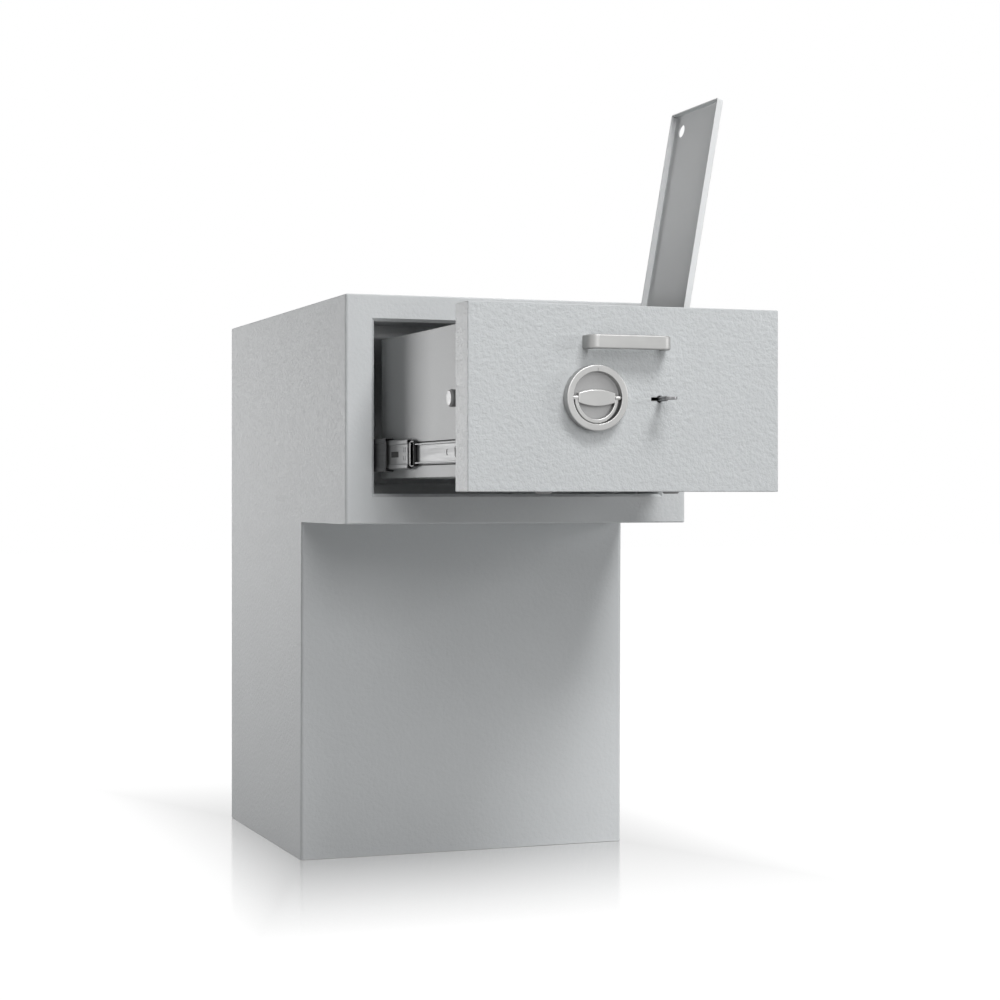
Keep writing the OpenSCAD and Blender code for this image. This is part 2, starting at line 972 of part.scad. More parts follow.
// The right bar dips under the lock and has a notch for the lock's bolt at each end of the throw
module bolt_right() {
    tip = knob_x + cam_r;
    leg_w = 17;
    near_leg = tip + bar_half + 2;
    far_leg = key_x + 21;
    dip = lock_z - 41;
    dip_top = lock_z - 21;
    notch = 6;
    notch_z = lock_z - 33;
    top = lock_z + bar_half;
    low = lock_z - bar_half;
    color("white") in_drawer() {
        side_bolt();
        difference() {
            inward(bar_y, bar_y + bar_t)
                polygon([[tip - bar_half, low], [near_leg, low], [near_leg, dip],
                    [far_leg + leg_w, dip], [far_leg + leg_w, low], [bar_end, low],
                    [bar_end, top], [far_leg, top], [far_leg, dip_top],
                    [near_leg + leg_w, dip_top], [near_leg + leg_w, top], [tip - bar_half, top]]);
            for (x = [key_x, key_x - throw])
                block([x - notch, bar_y - 1, notch_z], [x + notch, bar_y + bar_t + 1, dip_top + 1]);
        }
        bar_pin(tip, lock_z);
    }
}

module bolts_lower() {
    yoke_z = lock_z - 61;
    yoke_h = 16;
    len = yoke_z + yoke_h - low_end;
    pin_z = lock_z - cam_r;
    color("white") in_drawer() {
        for (x = [-low_x, low_x])
            translate([x, bolt_y, low_end]) bolt_pin(len);
        block([-low_x - bar_half, bar_y, yoke_z], [low_x + bar_half, bar_y + bar_t, yoke_z + yoke_h]);
        block([knob_x - bar_half, bar_y, yoke_z], [knob_x + bar_half, bar_y + bar_t, pin_z + bar_half]);
        bar_pin(knob_x, pin_z);
    }
}

// Hopper flap

module drop_flap() {
    play = 2;
    far = back_y - 2;
    thick = 2;
    rib = 12;
    half = wall_in - play;
    color("gray") in_drawer() {
        difference() {
            union() {
                block([-half, flap_y, tray_z], [half, far, tray_z + thick]);
                block([-half, far - thick, tray_z], [half, far, tray_z + rib]);
                rod_x(-half, half, flap_y, flap_z, flap_pin_r + 1);
                for (x = [-half / 3, half / 3])
                    block([x - 1, flap_y + 4, tray_z], [x + 1, far, tray_z + rib]);
            }
            rod_x(-half - 1, half + 1, flap_y, flap_z, flap_pin_r - fit);
        }
        rod_x(-tray_x, tray_x, flap_y, flap_z, flap_pin_r);
    }
}

// Service door in the back

module service_door() {
    stiff = 25;
    inset = 40;
    color("silver") at_face() {
        difference() {
            union() {
                block([-door_x, back_in, door_z], [door_x, body_d, door_z + door_h]);
                for (x = [-1, 1])
                    block([x * (door_x - inset - 10) - 10, back_in - stiff, door_z + inset],
                        [x * (door_x - inset - 10) + 10, back_in, door_z + door_h - inset]);
            }
            rod_y(turn_x, turn_z, back_in - 1, body_d + 1, turn_r + fit);
        }
        door_knuckles(1);
        for (low = [door_z + 40, door_z + door_h - 85])
            rod_z(door_x + 4, body_d + knuckle_r + gap, low, low + 45, knuckle_r / 2 - fit);
    }
}

module door_turn() {
    head_r = 17;
    head = 9;
    tongue = 40;
    color("lightgray") at_face() {
        rod_y(turn_x, turn_z, back_in - 12, body_d + 1, turn_r);
        rod_y(turn_x, turn_z, body_d + gap, body_d + gap + head, head_r);
        block([turn_x - 3, body_d + gap + head, turn_z - head_r + 2],
            [turn_x + 3, body_d + gap + head + 10, turn_z + head_r - 2]);
        block([turn_x - 8, back_in - 12, turn_z - 10], [turn_x + 8, back_in - 8, turn_z + tongue]);
    }
}

side_left();
side_right();
top_plate();
post_left();
post_right();
header();
sill();
stop_band();
bay_floor();
bay_wall_left();
bay_wall_right();
underside();
chest_front();
chest_base();
back_plate();
drop_chute();
slide_outer_left();
slide_outer_right();
slide_middle_left();
slide_middle_right();
slide_second_left();
slide_second_right();
slide_inner_left();
slide_inner_right();
ball_cage_outer();
ball_cage_middle();
ball_cage_inner();
drawer_front();
drawer_liner();
spindle_sleeve();
bow_handle();
bolt_guides();
lock_body();
case_cover();
tray_side_left();
tray_side_right();
tray_floor();
till_partition();
hinge_rail();
hopper_back();
till_lid();
pull_knob();
cam_disc();
bail();
key();
lock_curtain();
lock_bolt();
bolt_left();
bolt_right();
bolts_lower();
drop_flap();
service_door();
door_turn();
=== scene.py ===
"""Looks of the drop safe: camera, materials, detailed pieces, floor and lights, in the part's own frame.

The forms are made in millimetres, as in part.scad, and piece() turns them into metres.
"""

import json
import math

import bmesh
import bpy
from mathutils import Matrix, Vector
from mathutils.geometry import tessellate_polygon


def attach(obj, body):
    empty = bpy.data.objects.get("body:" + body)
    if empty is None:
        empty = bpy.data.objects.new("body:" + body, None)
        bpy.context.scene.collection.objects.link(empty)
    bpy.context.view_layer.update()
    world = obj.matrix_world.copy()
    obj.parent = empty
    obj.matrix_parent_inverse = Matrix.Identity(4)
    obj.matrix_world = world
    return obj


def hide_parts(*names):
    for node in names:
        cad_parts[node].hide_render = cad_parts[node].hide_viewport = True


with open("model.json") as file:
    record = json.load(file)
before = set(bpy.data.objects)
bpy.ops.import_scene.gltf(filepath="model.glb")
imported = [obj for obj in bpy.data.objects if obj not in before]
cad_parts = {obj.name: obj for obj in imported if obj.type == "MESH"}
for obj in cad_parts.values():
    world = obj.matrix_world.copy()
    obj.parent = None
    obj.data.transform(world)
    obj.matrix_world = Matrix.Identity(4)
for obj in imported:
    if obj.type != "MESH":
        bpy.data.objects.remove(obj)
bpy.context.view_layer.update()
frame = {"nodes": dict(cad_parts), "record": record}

scene = bpy.context.scene
scene.view_settings.view_transform = "Standard"

# The part's measures in millimetres. X counts from the middle and Z from the floor. FACE_Y and DRAWER_Y say
# how far the two fronts lie before the middle; other names in _Y count back from a front, as face() does.
FACE_Y = 447.5
PULL = 366.0
DRAWER_Y = FACE_Y + PULL
BODY_W, BODY_H, BODY_D = 500.0, 795.0, 665.0
OVERHANG, UNDERSIDE_Z = 230.0, 486.0
HALF_W, CHEST_HALF = BODY_W / 2, (BODY_D - OVERHANG) / 2
PLATE = 6.0
INSIDE_W = HALF_W - PLATE
BACK_IN, TOP_IN = BODY_D - PLATE, BODY_H - PLATE
MOUTH_X, MOUTH_Z, MOUTH_H, MOUTH_C = 209.8, 526.6, 232.6, 4.0
FRAME_D = 75.0
FRONT_X, FRONT_Z, FRONT_H, FRONT_T, SKIN = 206.0, 529.5, 227.0, 45.0, 4.0
FRONT_TOP = FRONT_Z + FRONT_H
TRAY_X, TRAY_T, TRAY_Z, TRAY_TOP, TRAY_END = 193.0, 2.0, 547.8, 735.0, 388.0
TRAY_IN, TRAY_BED = TRAY_X - TRAY_T, TRAY_Z + TRAY_T
SLIDE_Z = 578.5
LOCK_Z, KNOB_X, KEY_X, SPINDLE_R = 643.0, -44.0, 43.5, 7.05
KEYHOLE_R, SLOT_L, SLOT_HALF = 4.5, 11.5, 2.25
BOLT_R, BOLT_Y, BOLT_END, LOW_X, LOW_END = 10.7, 60.4, 209.2, 86.0, 527.1
HINGE_X, HINGE_Z, LID_LEN, LID_Y, LID_W, LID_D, LEAN = 115.3, 732.0, 304.0, 76.5, 139.0, 9.0, 10.05
PAN_HOLE = (-280.5, LID_W - 23.4, 8.5)
DOOR_Z, DOOR_W, DOOR_H, TURN_X = 255.0, 340.0, 370.0, -145.0

# Camera


def place_camera():
    """The camera fitted to the photograph's edges."""
    data = bpy.data.cameras.new("camera")
    data.sensor_width = 36.0
    data.lens = 77.362
    data.shift_y = -0.0086
    data.clip_end = 50.0
    cam = bpy.data.objects.new("camera", data)
    scene.collection.objects.link(cam)
    cam.location = (-1.05215, -3.2154, 0.53004)
    cam.rotation_euler = (math.radians(90), 0, math.radians(-20.267))
    scene.camera = cam


place_camera()

# Materials


class Nodes:
    """Small helper round a material's node tree."""

    def __init__(self, name):
        self.mat = bpy.data.materials.new(name)
        self.mat.use_nodes = True
        self.tree = self.mat.node_tree
        self.shader = self.tree.nodes["Principled BSDF"]
        self.coords = self.add("ShaderNodeTexCoord").outputs["Object"]

    def add(self, kind, inputs=(), **settings):
        """New node with settings of its own and pairs of an input's name and value."""
        node = self.tree.nodes.new(kind)
        for key, value in settings.items():
            setattr(node, key, value)
        for key, value in inputs:
            node.inputs[key].default_value = value
        return node

    def link(self, source, target):
        self.tree.links.new(source, target)

    def noise(self, coords, scale, detail, rough=0.5):
        node = self.add("ShaderNodeTexNoise", (("Scale", scale), ("Detail", detail), ("Roughness", rough)))
        self.link(coords, node.inputs["Vector"])
        return node.outputs["Fac"]

    def remap(self, source, low, high, from_low=0.25, from_high=0.75):
        """Stretches a span of the source, if not given a noise's usual one, to low and high."""
        node = self.add("ShaderNodeMapRange", (("From Min", from_low), ("From Max", from_high),
                                               ("To Min", low), ("To Max", high)))
        self.link(source, node.inputs["Value"])
        return node.outputs["Result"]

    def colour(self, scale, detail, rough, dark, light):
        """Base colour that drifts between two tones in soft clouds."""
        node = self.add("ShaderNodeMix", (("A", (*dark, 1)), ("B", (*light, 1))), data_type="RGBA")
        self.link(self.remap(self.noise(self.coords, scale, detail, rough), 0, 1), node.inputs["Factor"])
        self.link(node.outputs["Result"], self.shader.inputs["Base Color"])

    def maths(self, operation, *sources):
        """Result of an operation on sources and plain numbers."""
        node = self.add("ShaderNodeMath", operation=operation)
        for source, socket in zip(sources, node.inputs):
            if isinstance(source, float):
                socket.default_value = source
            else:
                self.link(source, socket)
        return node.outputs[0]

    def mixed(self, share, one, two):
        """One shader that turns into the other as the share goes from 0 to 1."""
        node = self.add("ShaderNodeMixShader")
        for source, socket in zip((share, one, two), node.inputs):
            self.link(source, socket)
        return node.outputs[0]

    def bump(self, height, distance, under=None):
        node = self.add("ShaderNodeBump", (("Distance", distance), ("Strength", 1.0)))
        self.link(height, node.inputs["Height"])
        if under is not None:
            self.link(under, node.inputs["Normal"])
        return node.outputs["Normal"]


def tones(colour, mottle):
    """A colour a little darker and a little lighter."""
    return [tuple(min(1.0, c * by) for c in colour) for by in (1 - mottle, 1 + mottle)]


def paint(name, colour, rough, peel, peel_scale, mottle):
    """Powder coat: a faint cloudiness, an orange-peel surface of peel metres and its sheen."""
    n = Nodes(name)
    n.colour(9.0, 4.0, 0.6, *tones(colour, mottle))
    grain = n.noise(n.coords, peel_scale, 2.0)
    n.link(n.remap(grain, rough - 0.05, rough + 0.05), n.shader.inputs["Roughness"])
    fine = n.noise(n.coords, peel_scale * 3.1, 2.0)
    n.link(n.bump(fine, peel * 0.3, under=n.bump(grain, peel)), n.shader.inputs["Normal"])
    n.shader.inputs["Specular IOR Level"].default_value = 0.4
    return n.mat


def metal(name, colour, rough, grain, metallic=1.0, grain_scale=300.0):
    """Rolled, turned or brushed metal: the grain runs along the axis whose factor is small."""
    depth, mottle, sheen = 0.00002, 0.06, 0.07
    n = Nodes(name)
    stretch = n.add("ShaderNodeMapping", (("Scale", grain),))
    n.link(n.coords, stretch.inputs["Vector"])
    lines = n.noise(stretch.outputs["Vector"], grain_scale, 4.0, 0.65)
    n.colour(22.0, 3.0, 0.6, *tones(colour, mottle))
    n.link(n.remap(lines, rough - sheen, rough + sheen), n.shader.inputs["Roughness"])
    n.link(n.bump(lines, depth), n.shader.inputs["Normal"])
    n.shader.inputs["Metallic"].default_value = metallic
    return n.mat


EVEN, ALONG_X, ALONG_Y, ALONG_Z = (1, 1, 1), (0.04, 1, 1), (1, 0.03, 1), (1, 1, 0.1)
PAINTS = {  # colour, roughness, peel in metres, its scale, cloudiness
    "body_paint": ((0.73, 0.75, 0.76), 0.6, 0.0005, 195.0, 0.012),
    "front_paint": ((0.605, 0.625, 0.635), 0.45, 0.0012, 195.0, 0.02),
    "bay_paint": ((0.76, 0.775, 0.78), 0.5, 0.00008, 420.0, 0.03),
    "tray_paint": ((0.305, 0.315, 0.32), 0.5, 0.0001, 420.0, 0.03),
    "lid_paint": ((0.80, 0.815, 0.82), 0.5, 0.00008, 420.0, 0.02),
}
METALS = {  # colour, roughness, grain, then metallic and the grain's scale where they aren't the usual ones
    "zinc_slides": ((0.20, 0.203, 0.206), 0.5, ALONG_Y, 0.25),
    # Next: a darker copy of the slides' zinc, painted shade for the members that lie deep in the bay
    "shaded_zinc": ((0.08, 0.082, 0.084), 0.55, ALONG_Y, 0.25),
    "cage_steel": ((0.03, 0.03, 0.031), 0.45, (1, 0.1, 1), 0.0),
    # Next: near-black that paints the shade in gaps and behind cuts
    "painted_gap_shade": ((0.006, 0.006, 0.006), 0.9, EVEN, 0.0),
    "plain_steel": ((0.45, 0.45, 0.45), 0.4, ALONG_Z),
    "satin_handle": ((0.385, 0.385, 0.38), 0.5, ALONG_X),
    "satin_knob": ((0.44, 0.44, 0.435), 0.38, EVEN, 1.0, 500.0),
    # Next: a darker copy of the knob's satin metal, painted shade for the knob's recess
    "recess_shade_satin": ((0.31, 0.31, 0.31), 0.45, EVEN, 1.0, 420.0),
    "key_steel": ((0.22, 0.22, 0.225), 0.3, (1, 0.1, 1)),
    "lock_brass": ((0.62, 0.50, 0.25), 0.35, ALONG_Z),
    "bright_bolts": ((0.22, 0.22, 0.222), 0.45, (0.1, 1, 1), 0.3),
}
MATERIALS = {name: paint(name, *row) for name, row in PAINTS.items()}
MATERIALS.update({name: metal(name, *row) for name, row in METALS.items()})

for part in frame["record"]["subparts"]:
    node = frame["nodes"][part["node"]]
    node.data.materials.clear()
    node.data.materials.append(MATERIALS[part["material_slot"]])

# Outlines

AXES = {"x": lambda u, v, w: Vector((w, u, v)),
        "y": lambda u, v, w: Vector((u, w, v)),
        "z": lambda u, v, w: Vector((u, v, w))}
SIDES = ((-1, "_left"), (1, "_right"))


def face(y):
    """From a distance behind the upper box's front plane to the part's Y."""
    return y - FACE_Y


def at_drawer(y):
    """From a distance behind the drawer's face to the part's Y."""
    return y - DRAWER_Y


def at_knob(x, y, z):
    """From the knob's own plane, x right, y up and z out, to the part's frame."""
    return Vector((KNOB_X + x, at_drawer(-z), LOCK_Z + y))


def across(side, near, far):
    """A span of X on one side of the middle, in rising order."""
    return sorted((side * near, side * far))


def rect(u0, v0, u1, v1):
    return [(u0, v0), (u1, v0), (u1, v1), (u0, v1)]


def around(u, v, r, angles):
    return [(u + r * math.cos(math.radians(a)), v + r * math.sin(math.radians(a))) for a in angles]


def arc(u, v, r, start, end, steps):
    return around(u, v, r, [start + (end - start) * i / steps for i in range(steps + 1)])


def disc(u, v, r, steps=40):
    return arc(u, v, r, 0, 360, steps)[:-1]


def rounded(u, v, w, h, r, steps=6):
    """Rectangle with rounded corners about its middle."""
    loop = []
    for side_u, side_v, start in ((1, 1, 0), (-1, 1, 90), (-1, -1, 180), (1, -1, 270)):
        loop += arc(u + side_u * (w / 2 - r), v + side_v * (h / 2 - r), r, start, start + 90, steps)
    return loop


def mirrored(line):
    """A line that goes on as its mirror image in the second coordinate."""
    return line + [(u, -v) for u, v in line[::-1]]


def fillet(points, r, steps=4):
    """Rounds the inner corners of an open line."""
    line = [points[0]]
    for before, at, after in zip(points, points[1:], points[2:]):
        a, b, c = (Vector(p) for p in (before, at, after))
        back, on = (a - b).normalized(), (c - b).normalized()
        half = back.angle(on) / 2
        reach = min(r / math.tan(half), 0.49 * (a - b).length, 0.49 * (c - b).length)
        start, end = b + back * reach, b + on * reach
        for i in range(steps + 1):
            t = i / steps
            line.append(tuple((1 - t) ** 2 * start + 2 * t * (1 - t) * b + t ** 2 * end))
    line.append(points[-1])
    return line


def strip(line, thick):
    """Outline of a sheet bent along an open line."""
    left, right = [], []
    for i, p in enumerate(line):
        a = Vector(line[max(i - 1, 0)])
        b = Vector(line[min(i + 1, len(line) - 1)])
        along = (b - a).normalized()
        aside = Vector((-along.y, along.x)) * (thick / 2)
        left.append(tuple(Vector(p) + aside))
        right.append(tuple(Vector(p) - aside))
    return left + right[::-1]


# Forms


def prism(bm, loops, low, high, axis):
    """Adds an outline, and the holes that follow it, pushed from low to high along an axis."""
    place = AXES[axis]
    flat = [p for loop in loops for p in loop]
    ends = [[bm.verts.new(place(u, v, w)) for u, v in flat] for w in (low, high)]
    caps = [list(range(len(flat)))]
    if len(loops) > 1:
        caps = tessellate_polygon([[Vector((u, v, 0)) for u, v in loop] for loop in loops])
    for end in ends:
        for cap in caps:
            bm.faces.new([end[i] for i in cap])
    start = 0
    for loop in loops:
        for i in range(len(loop)):
            a, b = start + i, start + (i + 1) % len(loop)
            bm.faces.new((ends[0][a], ends[0][b], ends[1][b], ends[1][a]))
        start += len(loop)


def pushed(loops, low, high, axis):
    bm = bmesh.new()
    prism(bm, loops, low, high, axis)
    return bm


def block(low, high):
    return pushed([rect(low[0], low[1], high[0], high[1])], low[2], high[2], "z")


def loft(rings):
    """Joins rings of as many points each with faces, and closes the two ends."""
    bm = bmesh.new()
    rings = [[bm.verts.new(p) for p in ring] for ring in rings]
    for one, two in zip(rings, rings[1:]):
        for i in range(len(one)):
            j = (i + 1) % len(one)
            bm.faces.new((one[i], one[j], two[j], two[i]))
    bm.faces.new(rings[0])
    bm.faces.new(rings[-1])
    return bm


def lathe(bm, profile, place, steps):
    """Adds a line of (radius, height) points turned about an axis; place puts the turned points."""
    loops = []
    for k in range(steps):
        a = 2 * math.pi * k / steps
        loops.append([bm.verts.new(place(r * math.cos(a), r * math.sin(a), h)) for r, h in profile])
    for k in range(steps):
        one, two = loops[k], loops[(k + 1) % steps]
        for i in range(len(profile) - 1):
            bm.faces.new((one[i], one[i + 1], two[i + 1], two[i]))


def turned(profile, place, steps=32):
    bm = bmesh.new()
    lathe(bm, profile, place, steps)
    return bm


def about(axis, x, y, z):
    """For lathe: puts turned points round a line along an axis, their heights counted from x, y, z."""
    return lambda u, v, h: Vector((x, y, z)) + AXES[axis](u, v, h)


def rod(r, rim, start, end):
    """Profile of a round pin with chamfered rims."""
    return [(0, start), (r - rim, start), (r, start + rim), (r, end - rim), (r - rim, end), (0, end)]


def tidy(bm):
    """Merges doubled points and turns the faces outwards."""
    bmesh.ops.remove_doubles(bm, verts=bm.verts, dist=0.002)
    bmesh.ops.dissolve_degenerate(bm, edges=bm.edges, dist=0.001)
    bmesh.ops.recalc_face_normals(bm, faces=bm.faces)


def ease(bm, radius, test=None, steps=3, sharper=35):
    """Rounds the edges sharper than an angle, or those of them whose two ends pass the test."""
    tidy(bm)
    bmesh.ops.dissolve_limit(bm, angle_limit=0.002, verts=bm.verts, edges=bm.edges)
    edges = [e for e in bm.edges if len(e.link_faces) == 2
             and e.calc_face_angle() > math.radians(sharper)
             and (test is None or test(e.verts[0].co, e.verts[1].co))]
    bmesh.ops.bevel(bm, geom=edges, offset=radius, offset_type="OFFSET", segments=steps, profile=0.5,
                    affect="EDGES", clamp_overlap=True)
    return bm


def as_object(bm):
    tidy(bm)
    mesh = bpy.data.meshes.new("work")
    bm.to_mesh(mesh)
    bm.free()
    obj = bpy.data.objects.new("work", mesh)
    scene.collection.objects.link(obj)
    return obj


def carve(bm, tool):
    """Takes a tool's solid away from a form."""
    pair = [as_object(bm), as_object(tool)]
    step = pair[0].modifiers.new("carve", "BOOLEAN")
    step.operation = "DIFFERENCE"
    step.solver = "EXACT"
    step.object = pair[1]
    cut = pair[0].evaluated_get(bpy.context.evaluated_depsgraph_get())
    result = bmesh.new()
    result.from_mesh(cut.to_mesh())
    for obj in pair:
        mesh = obj.data
        bpy.data.objects.remove(obj)
        bpy.data.meshes.remove(mesh)
    return result


def joined(parts):
    """Puts several forms in one, each kept closed by itself."""
    whole = bmesh.new()
    for part in parts:
        tidy(part)
        mesh = bpy.data.meshes.new("part")
        part.to_mesh(mesh)
        part.free()
        whole.from_mesh(mesh)
        bpy.data.meshes.remove(mesh)
    return whole


def solid_block(low, high, r=0.5, steps=2):
    return ease(block(low, high), r, None, steps)


def solid_prism(loops, low, high, axis, r=0.5):
    return ease(pushed(loops, low, high, axis), r, None, 2, 50)


def folded(points, thick, low, high, axis="x", r=2.0):
    """Sheet bent along an open line of its middle and pushed along an axis."""
    return ease(pushed([strip(fillet(points, r), thick)], low, high, axis), 0.3, None, 2, 60)


def rivet(at, axis, r, high):
    """Low domed head that stands out along an axis, to its minus side where high is negative."""
    dome = [(0, 1), (0.45, 0.92), (0.8, 0.6), (1, 0), (0.98, -0.3), (0, -0.3)]
    return turned([(r * u, high * h) for u, h in dome], about(axis, *at), 24)


def piece(name, bm, slot, body, nodes=(), material=None):
    """Makes a form a piece of the scene that rides on a body and stands in for CAD nodes."""
    tidy(bm)
    bmesh.ops.scale(bm, vec=(0.001, 0.001, 0.001), verts=bm.verts)
    mesh = bpy.data.meshes.new(name)
    bm.to_mesh(mesh)
    bm.free()
    mesh.shade_smooth()
    mesh.set_sharp_from_angle(angle=math.radians(32))
    obj = bpy.data.objects.new(name, mesh)
    scene.collection.objects.link(obj)
    mesh.materials.append(MATERIALS[material or slot])
    even = obj.modifiers.new("even", "WEIGHTED_NORMAL")
    even.keep_sharp = True
    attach(obj, body)
    if nodes:
        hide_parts(*nodes)


# Body


def side_outline(inset=0.0, low=0.0, front=0.0, back=BODY_D):
    """Side view of the body, or of its inside where it is inset."""
    return [(face(front), UNDERSIDE_Z + inset), (face(front), BODY_H - inset), (face(back), BODY_H - inset),
            (face(back), low), (face(OVERHANG + inset), low), (face(OVERHANG + inset), UNDERSIDE_Z + inset)]


def make_shell():
    """Welded outer body with its front frame, chamfered mouth, overhang and the bores for the bolts."""
    corner_r, top_r, overhang_r, play = 4.5, 2.0, 2.2, 0.8

    def upright(a, b):
        return (abs(a.x - b.x) < 0.1 and abs(a.y - b.y) < 0.1 and abs(a.x) > HALF_W - 1
                and a.y < face(OVERHANG + 1))

    def on_top(a, b):
        return min(a.z, b.z) > BODY_H - 0.1

    def under(a, b):
        return (max(abs(a.z - UNDERSIDE_Z), abs(b.z - UNDERSIDE_Z)) < 0.1
                and max(a.y, b.y) < face(OVERHANG - 1))

    bm = pushed([side_outline()], -HALF_W, HALF_W, "x")
    ease(bm, corner_r, upright, 6)
    ease(bm, top_r, on_top, 4, 50)
    ease(bm, overhang_r, under, 4, 50)
    bm = carve(bm, pushed([side_outline(PLATE, -1, FRAME_D, BODY_D + 1)], -INSIDE_W, INSIDE_W, "x"))
    top = MOUTH_Z + MOUTH_H
    bm = carve(bm, pushed([rect(-MOUTH_X, MOUTH_Z, MOUTH_X, top)], face(-1), face(FRAME_D + 1), "y"))
    bm = carve(bm, loft([[Vector((x, face(y), z))
                          for x, z in rect(-MOUTH_X - out, MOUTH_Z - out, MOUTH_X + out, top + out)]
                         for y, out in ((-1, MOUTH_C + 1), (MOUTH_C, 0))]))
    bores = bmesh.new()
    for side in (1, -1):
        span = across(side, MOUTH_X - 1, MOUTH_X + 25)
        prism(bores, [disc(face(BOLT_Y), LOCK_Z, BOLT_R + play)], *span, "x")
    for x in (-LOW_X, LOW_X):
        prism(bores, [disc(x, face(BOLT_Y), BOLT_R + play)], MOUTH_Z - 25, MOUTH_Z + 1, "z")
    piece("body_shell", carve(bm, bores), "body_paint", "safe",
          ("side_left", "side_right", "top_plate", "post_left", "post_right", "header", "sill", "underside",
           "chest_front"))


def make_bay():
    """Bent sheets round the drawer's bay, and the chute under the opening for the deposits."""
    sheet, fold_y, ceiling_z, floor_z = 3, FRAME_D + 1.5, 742.5, 539.5
    wall_x, foot_x, wall_top, foot_z = 213.5, 230, 741, 542.5
    line = [(face(fold_y), TOP_IN), (face(fold_y), ceiling_z), (face(BACK_IN), ceiling_z)]
    piece("bay_ceiling", folded(line, sheet, -212, 212), "bay_paint", "safe", ("stop_band",))
    line = [(face(fold_y), 518), (face(fold_y), floor_z), (face(BACK_IN), floor_z)]
    drop = (0, face(302), 390, 128)
    floor = carve(folded(line, sheet, -INSIDE_W, INSIDE_W), pushed([rounded(*drop, 4)], 530, 545, "z"))
    piece("bay_floor_sheet", floor, "bay_paint", "safe", ("bay_floor",))
    for side, end in SIDES:
        line = [(side * wall_x, wall_top), (side * wall_x, foot_z), (side * foot_x, foot_z)]
        near, far = across(side, wall_x + 1.5, foot_x)
        parts = [folded(line, sheet, face(78), face(BACK_IN), "y"),
                 solid_block((near, face(78), foot_z + 1.5), (far, face(78 + sheet), wall_top))]
        parts += [rivet((side * (wall_x - 1.5), face(y), SLIDE_Z), "x", 3, -side)
                  for y in (110, 300, 420)]
        piece("bay_wall_sheet" + end, joined(parts), "bay_paint", "safe", ("bay_wall" + end,))
    chute = solid_prism([rounded(0, face(302.5), 396, 133, 2.5), rounded(*drop, 2)], 493, 538, "z")
    piece("chute_walls", chute, "bay_paint", "safe", ("drop_chute",))


def make_back():
    """Base plate with its anchor holes, back plate, and the service door with its ribs and hinges."""
    anchors = [disc(x, y, 7, 32) for x in (-170, 170) for y in (-150, 150)]
    deep = CHEST_HALF - PLATE
    base = solid_prism([rect(-INSIDE_W, -deep, INSIDE_W, deep)] + anchors, 0, PLATE, "z", 0.8)
    piece("base_plate", base, "body_paint", "safe", ("chest_base",))
    gap, inner, outer = 2, face(BACK_IN), face(BODY_D)
    outline = [rect(-INSIDE_W, 0, INSIDE_W, TOP_IN),
               rounded(0, DOOR_Z, DOOR_W + 2 * gap, DOOR_H + 2 * gap, 4)]
    back = [solid_prism(outline, inner, outer, "y", 0.8)]
    outline = [rounded(0, DOOR_Z, DOOR_W, DOOR_H, 2.5), disc(TURN_X, DOOR_Z, 8.05)]
    door = [solid_prism(outline, inner, outer, "y", 1.0)]
    rib_x, rib_half, rib_deep = 120, 10, 24.25
    for x in (-rib_x, rib_x):
        line = [(x - rib_half, inner), (x - rib_half, inner - rib_deep), (x + rib_half, inner - rib_deep),
                (x + rib_half, inner)]
        door.append(folded(line, 1.5, 110, 400, "z", 3))
    axis_x, axis_y, leaf, long, thick = 174, outer + 4.5, 16, 15, 3.5
    for low in (110, 355):
        for i in range(3):
            z0, z1 = low + i * long, low + (i + 1) * long - 0.5
            side, carrier = (1, back) if i != 1 else (-1, door)
            line = [(axis_x, outer + thick / 2), (axis_x + side * leaf, outer + thick / 2)]
            carrier.append(ease(pushed([strip(line, thick)], z0, z1, "z"), 0.5, None, 2, 60))
            carrier.append(turned(rod(4, 0.5, z0, z1), about("z", axis_x, axis_y, 0)))
            carrier.append(rivet((axis_x + side * 11, outer + thick, z0 + 7.25), "y", 2.4, 0.8))
    piece("back_panel", joined(back), "body_paint", "safe", ("back_plate",))
    piece("service_door_panel", joined(door), "body_paint", "service_door", ("service_door",))


def make_door_turn():
    """Turn of the service door: a domed rose with its wing, and the shaft and tongue behind it."""
    foot, inner = face(BODY_D) + 0.5, face(BACK_IN)
    rose = [(0, 0), (16, 0), (17, 1), (17, 4.5), (15.2, 7.5), (12.8, 9), (0, 9)]
    shaft = [(0, inner - 12), (8, inner - 12), (8, foot + 0.2), (0, foot + 0.2)]
    parts = [turned(rose, about("y", TURN_X, foot, DOOR_Z), 64),
             turned(shaft, about("y", TURN_X, 0, DOOR_Z), 40),
             solid_block((TURN_X - 3, foot + 8.5, DOOR_Z - 15), (TURN_X + 3, foot + 19, DOOR_Z + 15), 1.8, 4),
             solid_prism([rounded(TURN_X, DOOR_Z + 15, 16, 50, 5)], inner - 12, inner - 8, "y")]
    piece("door_turn_knob", joined(parts), "satin_handle", "door_turn", ("door_turn",))


# Drawer front


def make_front():
    """Front pressed as a shallow tray, with the holes for the knob's spindle and the key."""
    bm = pushed([rect(-FRONT_X, FRONT_Z, FRONT_X, FRONT_TOP)], at_drawer(0), at_drawer(FRONT_T), "y")
    ease(bm, 1.3, None, 4)
    pocket = [rect(SKIN - FRONT_X, FRONT_Z + SKIN, FRONT_X - SKIN, FRONT_TOP - SKIN)]
    bm = carve(bm, pushed(pocket, at_drawer(SKIN), at_drawer(FRONT_T + 1), "y"))
    for hole in (disc(KNOB_X, LOCK_Z, SPINDLE_R), disc(KEY_X, LOCK_Z, KEYHOLE_R),
                 rect(KEY_X - SLOT_L, LOCK_Z - SLOT_HALF, KEY_X, LOCK_Z + SLOT_HALF)):
        bm = carve(bm, pushed([hole], at_drawer(-1), at_drawer(SKIN + 1), "y"))
    piece("drawer_front_panel", bm, "front_paint", "drawer", ("drawer_front",))


